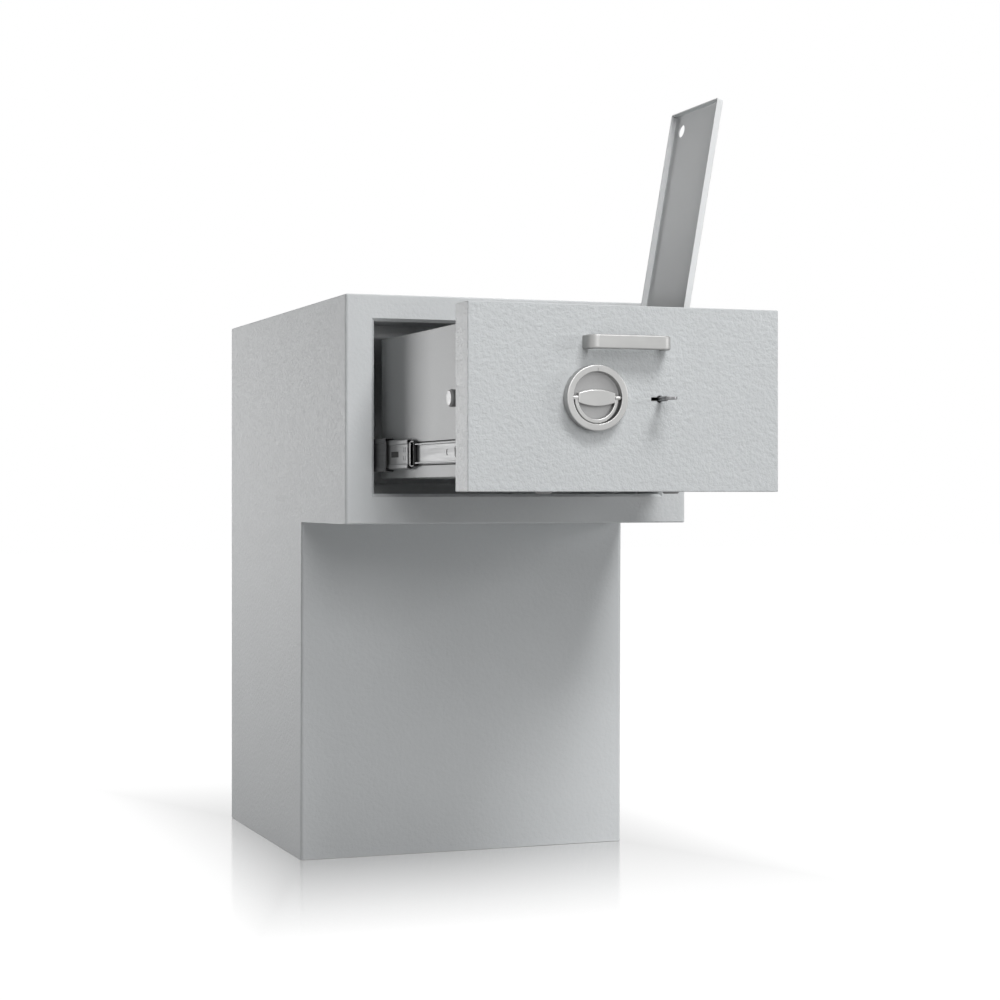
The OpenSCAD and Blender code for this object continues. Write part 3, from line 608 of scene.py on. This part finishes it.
def make_handle():
    """Bow handle: a bent flat bar with bevelled outer edges."""
    x, w, d, z, h, bar = -4, 110, 25, 702, 17, 8

    def bow(inset, r):
        left = x - w / 2 + inset
        half = [(left, at_drawer(0))] + arc(left + r, at_drawer(inset + r - d), r, 180, 270, 10)
        return half + [(2 * x - u, v) for u, v in half[::-1]]

    outside, inside = bow(0, 13), bow(bar, 5)

    def on_outside(p):
        return any(abs(p.x - u) < 0.02 and abs(p.y - v) < 0.02 for u, v in outside)

    bm = pushed([outside + inside[::-1]], z, z + h, "z")
    ease(bm, 1.9, lambda a, b: abs(a.z - b.z) < 0.1 and on_outside(a) and on_outside(b), 4, 60)
    ease(bm, 0.5, lambda a, b: max(a.y, b.y) < at_drawer(-0.1), 2, 60)
    piece("bow_handle_bar", bm, "satin_handle", "drawer", ("bow_handle",))


# Knob and key

KNOB_R, RECESS_R, KNOB_HIGH, KNOB_FOOT, DISH = 40.0, 31.75, 13.0, 0.4, 3.0
PIN_HIGH = 7.5


def make_knob():
    """Recessed knob: an eased ring with its index notch, the bail's pins and the grip, dish and spindle, the
    dish in a darker metal as painted shade for the recess.
    """
    rim, outer, foot = 0.9, 1.5, 0.6
    profile = [(RECESS_R, KNOB_FOOT), (RECESS_R, KNOB_HIGH - rim)]
    profile += around(RECESS_R + rim, KNOB_HIGH - rim, rim, (150, 120, 90))
    profile += around(KNOB_R - outer, KNOB_HIGH - outer, outer, (90, 68, 45, 23, 0))
    profile += [(KNOB_R, KNOB_FOOT + foot), (KNOB_R - foot, KNOB_FOOT), (RECESS_R, KNOB_FOOT)]
    notch = loft([[at_knob(x, RECESS_R + rim + y, KNOB_HIGH - rim + z) for x, y in rect(-0.7, 0, 0.7, 3.3)]
                  for z in (0, 2)])
    parts = [carve(turned(profile, at_knob, 128), notch)]
    for side in (-1, 1):
        parts.append(loft([[at_knob(side * x, u, v) for u, v in disc(0, PIN_HIGH, 1.5, 18)]
                           for x in (23.0, RECESS_R + 0.4)]))
    grip_x, grip_y, rise, top = 24.3, 10.3, 4.5, 10.5
    bow = (grip_x ** 2 + rise ** 2) / (2 * rise)
    swing = math.degrees(math.asin(grip_x / bow))
    upper = arc(0, grip_y - bow, bow, 90 + swing, 90 - swing, 20)
    lens = upper + [(-u, -v) for u, v in upper]
    grip = loft([[at_knob(u, v, z) for u, v in lens] for z in (DISH - 0.1, top)])
    parts.append(ease(grip, 1.5, lambda a, b: max(a.y, b.y) < at_drawer(0.1 - top), 4, 50))
    piece("knob_ring", joined(parts), "satin_knob", "knob", ("pull_knob",))
    wide, under = RECESS_R + 0.3, KNOB_FOOT + 0.2
    dish = [(0, DISH), (RECESS_R - 2.0, DISH), (RECESS_R - 0.8, DISH + 0.3), (wide, DISH + 1.5),
            (wide, under), (0, under)]
    spindle = [(0, 0.8), (7, 0.8), (7, -46.4), (6.4, -47), (0, -47)]
    parts = [turned(dish, at_knob, 96), turned(spindle, at_knob, 48)]
    # The dish takes the darker copy of the knob's metal, painted shade in the recess.
    piece("knob_dish", joined(parts), "satin_knob", "knob", ("pull_knob",), material="recess_shade_satin")


def hoop(section, angles, narrow=1.0):
    """Bar bent round the knob's middle, its section given by distance from the middle and height."""
    return loft([[at_knob(narrow * u * c, u * s, v) for u, v in section] for c, s in around(0, 0, 1, angles)])


def make_bail():
    """Drop ring hung on the two pins, a little narrower than the recess, with near-black pads beside it as
    painted shade between the ring and the recess wall.
    """
    bail = hoop(rounded(28.4, PIN_HIGH, 5.2, 4.0, 1.3, 4), range(180, 361, 4), 0.93)
    for side in (-1, 1):
        eye = [[(at_drawer(-v), LOCK_Z + u) for u, v in disc(0, PIN_HIGH, r, 24)] for r in (3.0, 1.55)]
        prism(bail, eye, *sorted(KNOB_X + side * x for x in (24.4, 30.6)), "x")
    piece("bail_ring", bail, "satin_knob", "bail", ("bail",))
    # Near-black arcs beside the bail paint the shade in the gap between the bail and the recess wall.
    shade_pads = [hoop(rounded(30.0, 5.4, 3.4, 5.2, 0.8, 3), range(start, start + 53, 4)) for start in (186, 302)]
    piece("bail_shade_pads", joined(shade_pads), "cage_steel", "knob")


def make_key():
    """Key in its keyhole, the bow lying level and the bit behind the front."""
    reach, bow_w, bow_l, thick, tip = 38, 17, 20, 3.2, 56
    mid, neck = bow_l / 2 - reach, bow_l - reach
    bow = [rounded(KEY_X, at_drawer(mid), bow_w, bow_l, 7), rounded(KEY_X, at_drawer(mid - 2), 8, 6, 2.5, 4)]
    bm = pushed(bow, LOCK_Z - thick / 2, LOCK_Z + thick / 2, "z")
    ease(bm, 0.5, lambda a, b: abs(a.z - b.z) < 0.1, 3, 50)
    shank = [(0, neck - 2), (2.4, neck - 2), (3.2, neck - 0.5), (3.2, tip - 1), (2.4, tip), (0, tip)]
    lathe(bm, shank, about("y", KEY_X, at_drawer(0), LOCK_Z), 32)
    prism(bm, [rect(KEY_X - 11, at_drawer(tip - 8), KEY_X, at_drawer(tip))], LOCK_Z - 1.2, LOCK_Z + 1.2, "z")
    piece("key_blade", bm, "key_steel", "key", ("key",))


# Lid


def make_lid():
    """Folded pan with its finger hole and two knuckles, made flat and then leant back on its hinge."""
    wall, start, knuckle_r, pin_r = 1.5, 4.0, 3, 1.55
    lid = ease(block((-LID_LEN, 0, -LID_D), (-start, LID_W, 0)), 2.4,
               lambda a, b: (abs(a.x - b.x) < 0.1 and abs(a.y - b.y) < 0.1) or min(a.z, b.z) > -0.1, 4)
    room = ease(block((wall - LID_LEN, wall, -LID_D - 1), (1 - start, LID_W - wall, -wall)), 1.0,
                lambda a, b: min(a.z, b.z) > -wall - 0.1)
    parts = [carve(carve(lid, room), pushed([disc(*PAN_HOLE)], -5, 2, "z"))]
    for low, high in ((10, LID_W / 2 - 10), (LID_W / 2 + 10, LID_W - 10)):
        knuckle = pushed([disc(0, 0, knuckle_r, 32), disc(0, 0, pin_r, 32)], low, high, "y")
        prism(knuckle, [rect(-6, -2.5, -2, 0)], low, high, "y")
        parts.append(knuckle)
    whole = joined(parts)
    turn = Matrix.Rotation(math.radians(90 + LEAN), 4, "Y")
    place = Matrix.Translation((HINGE_X, at_drawer(LID_Y), HINGE_Z))
    bmesh.ops.transform(whole, matrix=place @ turn, verts=whole.verts)
    piece("till_lid_pan", whole, "lid_paint", "lid", ("till_lid",))


# Slides


def along_slide(side, sections):
    """Form with an outline, out from the tray and up from the slide's middle, at each of its distances."""
    return loft([[Vector((side * (TRAY_X + u), face(y), SLIDE_Z + v)) for u, v in line]
                 for y, line in sections])


def tray_span(side, near, far):
    return across(side, TRAY_X + near, TRAY_X + far)


def member_line(half, tip, web):
    """Middle line of a slide member's sheet: a ball race at either edge and a web set back between them."""
    t = 0.7
    return mirrored([(tip, half - 2.6), (tip + 0.6, half - t), (web + t, half - t), (web + t, half - 5.6),
                     (web + t - 0.9, half - 6.6)])


def flared(loop, by):
    """The same outline a little larger, for the eased end of a pressed member."""
    mid = sum(u for u, v in loop) / len(loop)
    return [(u + by * (1 if u > mid else -1) * 0.6, v * (1 + by / 19)) for u, v in loop]


def make_member(name, node, half, tip, web, start, body, material, window=None, ribs=()):
    """One of a slide's sunk members, on both sides, with a window and ribs on its web if given; a near-black
    sheet behind the window is painted shade.
    """
    length, flare = 350, 0.45
    outline = strip(fillet(member_line(half, tip, web), 1.5), 1.3)
    sections = [(start + y, flared(outline, by)) for y, by in
                ((0, flare), (1.2, flare), (4.0, 0), (length - 1, 0), (length, -0.1))]
    for side, end in SIDES:
        bm = along_slide(side, sections)
        if window:
            y0, y1, h = window
            cut = [rounded(face((y0 + y1) / 2), SLIDE_Z, y1 - y0, 2 * h, 0.8, 3)]
            bm = carve(bm, pushed(cut, *tray_span(side, web - 3, web + 4), "x"))
            # A near-black sheet behind the window paints the shade seen through it.
            low, high = tray_span(side, web - 0.2, web + 0.25)
            backing_shade = solid_block((low, face(y0), SLIDE_Z - h), (high, face(y1), SLIDE_Z + h), 0.1)
            piece(name + "_backing_shade" + end, backing_shade, "cage_steel", body, material="painted_gap_shade")
        for y, z0, z1 in ribs:
            rib = pushed([rounded(face(y), SLIDE_Z + (z0 + z1) / 2, 1.6, z1 - z0, 0.7, 3)],
                         *tray_span(side, web - 0.15, web + 1.0), "x")
            bm = joined([bm, ease(rib, 0.3, None, 2)])
        piece(name + end, bm, "zinc_slides", body, (node + end,), material=material)


def make_inner_member():
    """Inner member on the tray's side with its slot and crescent, and near-black strips as painted shade in
    the gaps round it and behind the cuts.
    """
    half, tip, t, front, back = 12.7, 5.5, 0.7, -316, 22
    slot = rounded(face(-289.5), SLIDE_Z, 9.4, 13, 2.5, 4)
    crescent = arc(face(-258), SLIDE_Z, 4.6, -65, 65, 12) + arc(face(-261), SLIDE_Z, 4.6, 58, -58, 12)
    outline = strip(fillet(mirrored([(tip, half - t), (t, half - t)]), 1.6), 1.35)
    for side, end in SIDES:
        bm = along_slide(side, [(y, outline) for y in (front, front + 1, back - 1, back)])
        for cut in (slot, crescent):
            bm = carve(bm, pushed([cut], *tray_span(side, -0.5, 2.5), "x"))
        piece("inner_rail" + end, bm, "zinc_slides", "drawer", ("slide_inner" + end,))
        # Near-black strips along the edges and behind the slot and crescent paint the shade in the gaps.
        low, high = tray_span(side, 0.15, 1.2)
        shade_strips = [solid_block((low, face(front), z), (high, face(back - 2), z + 1.5), 0.3)
                  for z in (592.4, 563.0)]
        low, high = tray_span(side, 0, 0.6)
        shade_strips.append(solid_block((low, face(-295), SLIDE_Z - 7.2), (high, face(-250), SLIDE_Z + 7.2), 0.15))
        piece("rail_shade_strip" + end, joined(shade_strips), "cage_steel", "drawer", material="painted_gap_shade")


def make_slides():
    ribs = [(y, low, low + 6) for y in (-101, -108) for low in (2.5, -8.5)]
    make_member("second_rail", "slide_second", 19.25, 2.0, 7.6, -118, "slide_second", "zinc_slides",
                (-79, -47, 3.8), ribs)
    # The middle and outer members take the darker zinc, painted shade for their place deep in the bay.
    make_member("middle_rail", "slide_middle", 22.45, 2.5, 12.6, -38, "slide_middle", "shaded_zinc")
    make_member("outer_rail", "slide_outer", 25.75, 3.0, 17.0, 85, "safe", "shaded_zinc")
    make_inner_member()


def make_cage(name, node, out, up, r, web, start, length, count, body, hook=None):
    """Strip with its balls in two rows, on both sides of the drawer; its front end may be a moulded hook."""
    parts = []
    y0, y1 = face(start), face(start + length)
    for side in (-1, 1):
        low, high = tray_span(side, web, web + 0.8)
        parts.append(solid_block((low, y0, SLIDE_Z - up), (high, y1, SLIDE_Z + up), 0.2))
        for z in (SLIDE_Z - up, SLIDE_Z + up):
            for i in range(count):
                ball = bmesh.new()
                middle = (side * (TRAY_X + out), face(start + length * (i + 0.5) / count), z)
                bmesh.ops.create_uvsphere(ball, u_segments=16, v_segments=10, radius=r,
                                          matrix=Matrix.Translation(middle))
                parts.append(ball)
            low, high = tray_span(side, out - r / 2, web + 0.5)
            parts.append(ease(pushed([rect(low, y0, high, y1)], z - 0.4, z + 0.4, "z"), 0.15, None, 2))
        if hook:
            h, long = hook
            back = web + 0.8
            loop = [(1.2, h), (back, h), (back, -h), (1.2, -h), (1.2, 4 - h), (3.2, 5.2 - h), (3.2, h - 5.2),
                    (1.2, h - 4)]
            loop = [(side * (TRAY_X + u), SLIDE_Z + v) for u, v in loop]
            parts.append(ease(pushed([loop], y0, face(start + long), "y"), 0.4, None, 2))
    piece(name, joined(parts), "cage_steel", body, (node,))


def make_cages():
    make_cage("outer_cage", "ball_cage_outer", 11, 23.4, 1.4, 15.3, 92, 208, 8, "cage_outer")
    make_cage("middle_cage", "ball_cage_middle", 7, 20.15, 1.4, 10.3, -30, 190, 8, "cage_middle")
    make_cage("inner_cage", "ball_cage_inner", 4, 15.275, 2.5, 6.1, -138, 152, 6, "cage_inner", (16.6, 12))


# Tray


def make_tray_sides():
    """Walls of the tray with holes for the bolts and the flap's rod, and the lip at their back end."""
    lip, pin_y = 12, 244
    for side, end in SIDES:
        span = across(side, TRAY_IN, TRAY_X)
        bm = pushed([rect(at_drawer(FRONT_T), TRAY_Z, at_drawer(TRAY_END), TRAY_TOP)], *span, "x")
        ease(bm, 0.6, lambda a, b: min(a.z, b.z) > TRAY_TOP - 0.1 or max(a.z, b.z) < TRAY_Z + 0.1)
        for hole in (disc(at_drawer(BOLT_Y), LOCK_Z, BOLT_R + 0.5),
                     disc(at_drawer(pin_y), TRAY_BED, 2.05, 24)):
            bm = carve(bm, pushed([hole], span[0] - 1, span[1] + 1, "x"))
        low, high = across(side, TRAY_IN - lip, TRAY_IN)
        edge = block((low, at_drawer(364), TRAY_Z), (high, at_drawer(TRAY_END), TRAY_BED))
        piece("tray_wall" + end, joined([bm, edge]), "tray_paint", "drawer", ("tray_side" + end,))


def make_case():
    """Liner, spindle's sleeve and folded cover, which close the boltwork behind the front."""
    keyhole = arc(KEY_X, LOCK_Z, KEYHOLE_R, -150, 150, 24)
    keyhole += [(KEY_X - SLOT_L, LOCK_Z + SLOT_HALF), (KEY_X - SLOT_L, LOCK_Z - SLOT_HALF)]
    plate = [rect(SKIN - FRONT_X, FRONT_Z + SKIN, FRONT_X - SKIN, FRONT_TOP - SKIN),
             disc(KNOB_X, LOCK_Z, SPINDLE_R), keyhole]
    liner = solid_prism(plate, at_drawer(FRONT_T - SKIN), at_drawer(FRONT_T), "y", 0.4)
    piece("front_liner", liner, "tray_paint", "drawer", ("drawer_liner",))
    near, far, wall_r = at_drawer(SKIN), at_drawer(FRONT_T - SKIN), 10.05
    tube = [(SPINDLE_R, near), (9.6, near), (wall_r, near + 0.5), (wall_r, far - 0.5), (9.6, far),
            (SPINDLE_R, far), (SPINDLE_R, near)]
    piece("spindle_tube", turned(tube, about("y", KNOB_X, 0, LOCK_Z), 48), "plain_steel", "drawer",
          ("spindle_sleeve",))
    sheet, cover_y = 1.5, 74.75
    top = TRAY_TOP - sheet / 2
    line = [(at_drawer(cover_y), TRAY_BED), (at_drawer(cover_y), top), (at_drawer(FRONT_T), top)]
    parts = [folded(line, sheet, -TRAY_IN, TRAY_IN, "x", 1.5)]
    parts += [rivet((x, at_drawer(cover_y + sheet / 2), z), "y", 2.6, 0.5) for x in (-176, -88, 0, 88)
              for z in (565, 725)]
    piece("case_sheet", joined(parts), "tray_paint", "drawer", ("case_cover",))


def upright_wall(y, top):
    """Sheet 2 mm thick across the tray with a rolled upper edge."""
    outline = [(y - 1, TRAY_BED), (y + 1, TRAY_BED), (y + 1, top - 1)] + arc(y, top - 1, 1, 0, 180, 8)[1:]
    return pushed([outline], -TRAY_IN, TRAY_IN, "x")


def make_till():
    """Floor and cross walls of the tray."""
    far = at_drawer(240)
    holes = [disc(x, at_drawer(BOLT_Y), BOLT_R + 0.5) for x in (-LOW_X, LOW_X)]
    floor = [rect(-TRAY_IN, at_drawer(FRONT_T), TRAY_IN, far)] + holes
    piece("tray_floor_sheet", solid_prism(floor, TRAY_Z, TRAY_BED, "z", 0.3), "tray_paint", "drawer",
          ("tray_floor",))
    parts = [upright_wall(far - 1, TRAY_TOP - 10)]
    parts += [solid_block((x - 12, at_drawer(229), TRAY_BED), (x + 12, at_drawer(238.4), TRAY_BED + 1.5), 0.4)
              for x in (-120, 0, 120)]
    piece("till_wall", joined(parts), "tray_paint", "drawer", ("till_partition",))
    piece("hopper_wall", upright_wall(at_drawer(363), TRAY_TOP), "tray_paint", "drawer", ("hopper_back",))


def make_hinge_rail():
    """Rail that carries the lid: its sheet, the stop in the middle, the end knuckles and the hinge's pin."""
    rail_x, mid_y = HINGE_X + 1.5, LID_Y + LID_W / 2
    at_hinge = about("y", HINGE_X, 0, HINGE_Z)
    parts = [solid_block((rail_x, at_drawer(75.5), TRAY_BED), (rail_x + 2, at_drawer(238), HINGE_Z - 4), 0.4),
             solid_block((rail_x + 0.2, at_drawer(mid_y - 6), HINGE_Z - 4),
                         (rail_x + 4, at_drawer(mid_y + 6), HINGE_Z + 6.5), 0.8)]
    for start in (LID_Y + 3, LID_Y + LID_W - 9):
        y0, y1 = at_drawer(start), at_drawer(start + 6)
        parts.append(turned(rod(3, 0.4, y0, y1), at_hinge))
        parts.append(solid_block((rail_x, y0, HINGE_Z - 5), (rail_x + 2, y1, HINGE_Z + 2), 0.4))
    pin = rod(1.5, 0.3, at_drawer(LID_Y + 1), at_drawer(LID_Y + LID_W - 1))
    parts.append(turned(pin, at_hinge, 24))
    piece("hinge_rail_sheet", joined(parts), "tray_paint", "drawer", ("hinge_rail",))


def make_flap():
    """Drop flap under the hopper: its sheet, rear lip, two ribs and the rod that it hangs on."""
    half, near, far, lip = TRAY_IN - 2, at_drawer(244), at_drawer(360), 12
    parts = [solid_block((-half, near, TRAY_Z), (half, far, TRAY_BED), 0.4),
             solid_block((-half, far - 2, TRAY_Z), (half, far, TRAY_Z + lip), 0.6)]
    parts += [solid_block((x - 1, near + 4, TRAY_Z + 1), (x + 1, far - 1, TRAY_Z + lip), 0.4)
              for x in (-half / 3, half / 3)]
    parts += [turned(rod(r, 0.3, -x, x), about("x", 0, near, TRAY_BED)) for r, x in ((3, half), (2, TRAY_X))]
    piece("hopper_flap", joined(parts), "tray_paint", "flap", ("drop_flap",))


# Boltwork and lock


def bolt_pin(start, length, place):
    """Turned bolt with a chamfered nose and fine grooves left by the tool."""
    profile = [(0, start), (BOLT_R - 2.2, start), (BOLT_R - 1.7, start + 0.2), (BOLT_R - 0.25, start + 1.9),
               (BOLT_R, start + 2.4)]
    for i in range(6):
        at = start + 3.6 + 2.2 * i
        profile += [(BOLT_R, at), (BOLT_R - 0.12, at + 0.25), (BOLT_R - 0.12, at + 0.55), (BOLT_R, at + 0.8)]
    profile += [(BOLT_R, start + length - 0.6), (BOLT_R - 0.6, start + length), (0, start + length)]
    return turned(profile, place, 72)


def drive_pin(x, z):
    """Pin that runs in the cam's slot."""
    profile = ((0, 47.3), (2.6, 47.3), (3, 47.7), (3, 53.2), (0, 53.2))
    return turned(profile, about("y", x, at_drawer(0), z))


def make_bolts():
    """Left, right and lower bolts with the flat bars that the cam drives."""
    half, throw, pin_l, lower_z = 7.5, 22, 45, 598
    low, top, y = LOCK_Z - half, LOCK_Z + half, at_drawer(BOLT_Y)
    shelf, notch, foot, notch_half = LOCK_Z - 21, LOCK_Z - 33, LOCK_Z - 41, 6

    def bar(loop):
        return solid_prism([loop], at_drawer(53), at_drawer(58), "y", 0.6)

    def end_bolt(side):
        place = about("x", 0, y, LOCK_Z)
        return bolt_pin(-BOLT_END, pin_l, lambda u, v, h: place(u, v, -side * h))

    end = BOLT_END - pin_l + 2
    tip = KNOB_X - throw
    left = [end_bolt(-1), bar(rect(-end, low, tip + half, top)), drive_pin(tip, LOCK_Z)]
    piece("left_bolt", joined(left), "bright_bolts", "bolt_left", ("bolt_left",))
    tip = KNOB_X + throw
    outline = [(tip - half, low), (tip + 9.5, low), (tip + 9.5, foot), (81.5, foot), (81.5, low), (end, low),
               (end, top), (64.5, top), (64.5, shelf)]
    for x in (KEY_X, KEY_X - 18):
        outline += [(x + notch_half, shelf), (x + notch_half, notch), (x - notch_half, notch),
                    (x - notch_half, shelf)]
    outline += [(4.5, shelf), (4.5, top), (tip - half, top)]
    right = [end_bolt(1), bar(outline), drive_pin(tip, LOCK_Z)]
    piece("right_bolt", joined(right), "bright_bolts", "bolt_right", ("bolt_right",))
    lower = [bar(rect(-LOW_X - half, lower_z - 16, LOW_X + half, lower_z)),
             bar(rect(KNOB_X - half, lower_z - 8, KNOB_X + half, LOCK_Z - throw + half)),
             drive_pin(KNOB_X, LOCK_Z - throw)]
    for x in (-LOW_X, LOW_X):
        lower.append(bolt_pin(LOW_END, lower_z - LOW_END, about("z", x, y, 0)))
    piece("lower_bolts", joined(lower), "bright_bolts", "bolts_lower", ("bolts_lower",))


def make_guides():
    """Blocks that the bolts slide in."""
    y, near, far, half, bore_r = at_drawer(BOLT_Y), at_drawer(FRONT_T), at_drawer(74), 14, BOLT_R + 0.05
    guides = []
    for side in (-1, 1):
        outline = [rect(near, LOCK_Z - half, far, LOCK_Z + half), disc(y, LOCK_Z, bore_r)]
        guides.append(solid_prism(outline, *across(side, TRAY_IN - 22, TRAY_IN), "x"))
        x = side * LOW_X
        outline = [rect(x - half, near, x + half, far), disc(x, y, bore_r)]
        guides.append(solid_prism(outline, TRAY_BED, 562, "z"))
    piece("bolt_blocks", joined(guides), "plain_steel", "drawer", ("bolt_guides",))


def make_cam():
    """Cam disc with three spiral slots and the nut that holds it on the spindle."""
    inmost, climb, slot_half = 22, 18 / 90, 3.9
    run = [-8 + i * 106 / 24 for i in range(25)]

    def spiral(start):
        return [around(KNOB_X, LOCK_Z, inmost + climb * a + sign * slot_half, (start + a,))[0]
                for part, sign in ((run, 1), (run[::-1], -1)) for a in part]

    near = at_drawer(FRONT_T + 2)
    outline = [disc(KNOB_X, LOCK_Z, 50, 96)] + [spiral(a) for a in (180, 0, 270)]
    plate = solid_prism(outline, near, near + 4, "y", 0.4)
    nut = solid_prism([disc(KNOB_X, LOCK_Z, 10, 6)], near + 3.5, near + 9, "y", 0.8)
    piece("cam_plate", joined([plate, nut]), "plain_steel", "knob", ("cam_disc",))


def make_lock():
    """Lock case, the curtain that the key turns, and the plate that holds the boltwork."""
    half, wall = 18.5, 3
    low = (KEY_X - half, at_drawer(FRONT_T), LOCK_Z - 17.5)
    high = (KEY_X + half, at_drawer(67), LOCK_Z + 23)
    case = ease(block(low, high), 1.2, lambda a, b: max(a.y, b.y) > high[1] - 0.1 or abs(a.y - b.y) > 1)
    room = block((low[0] + wall, low[1] - 1, low[2] + wall), (high[0] - wall, high[1] - wall, high[2] - wall))
    slot = block((KEY_X - 5.5, at_drawer(BOLT_Y - 8), low[2] - 1),
                 (KEY_X + 5.5, at_drawer(BOLT_Y + 2), low[2] + 4))
    parts = [carve(carve(case, room), slot)]
    parts += [rivet((KEY_X + x, high[1], LOCK_Z + z), "y", 2.8, 0.9) for x in (-13, 13) for z in (-12, 17.5)]
    piece("lock_case", joined(parts), "plain_steel", "drawer", ("lock_body",))

    near = at_drawer(FRONT_T + 5)
    gate = arc(KEY_X, LOCK_Z, 3.3, -155, 155, 24)
    gate += [(KEY_X - 11.2, LOCK_Z + 1.4), (KEY_X - 11.2, LOCK_Z - 1.4)]
    pin = [(0, 3.9), (1.5, 3.9), (1.5, 10.6), (1.1, 11), (0, 11)]
    parts = [solid_prism([disc(KEY_X, LOCK_Z, 13, 64), gate], near, near + 4, "y", 0.3),
             turned(pin, about("y", KEY_X, near, LOCK_Z + 10), 24)]
    piece("curtain_disc", joined(parts), "lock_brass", "key", ("lock_curtain",))

    near, step = at_drawer(FRONT_T + 12.5), at_drawer(FRONT_T + 8.5)
    plate = [rect(KEY_X - 14.5, LOCK_Z - 4, KEY_X + 7.5, LOCK_Z + 17),
             rect(KEY_X - 12, LOCK_Z + 8.2, KEY_X + 2, LOCK_Z + 14.1)]
    parts = [solid_prism(plate, near, near + 4, "y", 0.4),
             solid_block((KEY_X - 5, near, LOCK_Z - 19), (KEY_X + 5, near + 4, LOCK_Z - 3.5), 0.4),
             solid_block((KEY_X - 5, step, LOCK_Z - 19), (KEY_X + 5, near + 1, LOCK_Z - 14.5), 0.4)]
    piece("lock_bolt_plate", joined(parts), "lock_brass", "lock_bolt", ("lock_bolt",))


for make in (make_shell, make_front, make_handle, make_knob, make_bail, make_key, make_lid, make_slides,
             make_tray_sides, make_bay, make_back, make_door_turn, make_case, make_till, make_hinge_rail,
             make_flap, make_bolts, make_guides, make_cam, make_lock, make_cages):
    make()

# Floor, world and lights, in metres


def background_rays(tree):
    """One for the rays of camera, metal and glass, which all see the white background."""
    path = tree.nodes.new("ShaderNodeLightPath")
    total = path.outputs["Is Camera Ray"]
    for kind in ("Is Glossy Ray", "Is Transmission Ray"):
        most = tree.nodes.new("ShaderNodeMath")
        most.operation = "MAXIMUM"
        tree.links.new(total, most.inputs[0])
        tree.links.new(path.outputs[kind], most.inputs[1])
        total = most.outputs[0]
    return total


def beside(n, part, half, slope):
    """How far a floor point is outside the footprint on one axis, along a line of a given slope."""
    return n.maths("DIVIDE", n.maths("SUBTRACT", n.maths("ABSOLUTE", part), half), slope)


def make_floor():
    """White ground: a matte sheet for light and shadow, and a reflection that fades away from the base."""
    reach, gap, white_level, gloss_rough = 15, 0.0005, 1.05, 0.12
    mirror_share, mirror_reach = 0.74, 0.6
    matte_share, matte_reach = 0.10, 0.4
    mesh = bpy.data.meshes.new("floor")
    mesh.from_pydata([(u, v, 0) for u, v in rect(-reach, -reach, reach, reach)], [], [(0, 1, 2, 3)])
    floor = bpy.data.objects.new("floor", mesh)
    scene.collection.objects.link(floor)
    floor.location.z = -gap
    n = Nodes("floor")
    n.colour(3.0, 2.0, 0.5, (0.44, 0.44, 0.44), (0.46, 0.46, 0.46))
    n.shader.inputs["Roughness"].default_value = 0.9
    n.shader.inputs["Specular IOR Level"].default_value = 0.0
    split = n.add("ShaderNodeSeparateXYZ")
    n.link(n.coords, split.inputs[0])
    away = n.maths("MAXIMUM", beside(n, split.outputs["X"], HALF_W / 1000, 0.346),
                   beside(n, split.outputs["Y"], CHEST_HALF / 1000, 0.938))
    white = n.add("ShaderNodeEmission", (("Strength", white_level),))
    mirror = n.add("ShaderNodeBsdfGlossy", (("Roughness", gloss_rough),))
    matte = n.shader.outputs[0]
    shine = n.mixed(n.remap(away, mirror_share, 0.0, 0.0, mirror_reach), white.outputs[0], mirror.outputs[0])
    seen = n.mixed(n.remap(away, matte_share, 0.0, 0.0, matte_reach), shine, matte)
    final = n.mixed(background_rays(n.tree), matte, seen)
    n.link(final, n.tree.nodes["Material Output"].inputs["Surface"])
    mesh.materials.append(n.mat)


def make_world(light):
    """White behind the object for camera, metal and glass; a plain level for the light."""
    world = bpy.data.worlds.new("studio")
    scene.world = world
    world.use_nodes = True
    tree = world.node_tree
    back = tree.nodes["Background"]
    back.inputs["Color"].default_value = (1, 1, 1, 1)
    level = tree.nodes.new("ShaderNodeMapRange")
    level.inputs["To Min"].default_value = light
    level.inputs["To Max"].default_value = 1.0
    tree.links.new(background_rays(tree), level.inputs["Value"])
    tree.links.new(level.outputs["Result"], back.inputs["Strength"])


def softbox(name, turn, rise, size, power, aim):
    """Area light away from its aim, turned to the right of the front and risen above the level."""
    away = 6.0
    turn, rise = math.radians(turn), math.radians(rise)
    out = Vector((math.sin(turn) * math.cos(rise), -math.cos(turn) * math.cos(rise), math.sin(rise)))
    data = bpy.data.lights.new(name, "AREA")
    data.shape = "RECTANGLE"
    data.size, data.size_y = size
    data.energy = power
    lamp = bpy.data.objects.new(name, data)
    scene.collection.objects.link(lamp)
    lamp.location = Vector(aim) + out * away
    lamp.rotation_euler = (-out).to_track_quat("-Z", "Y").to_euler()


FRONT_AIM, REAR_AIM = (0, -0.4, 0.5), (0, 0, 0.34)
LAMPS = (  # turn and rise in degrees, width and height in metres, watts
    ("overhead", 14, 52, (2.3, 1.8), 196, FRONT_AIM),
    ("front_fill", -8, 22, (2.4, 2.6), 93, FRONT_AIM),
    ("right_side", 60, 12, (2.0, 2.2), 74, FRONT_AIM),
    ("left_rear", -150, 4, (2.2, 1.6), 120, REAR_AIM),
)
make_floor()
make_world(0.05)
for lamp in LAMPS:
    softbox(*lamp)
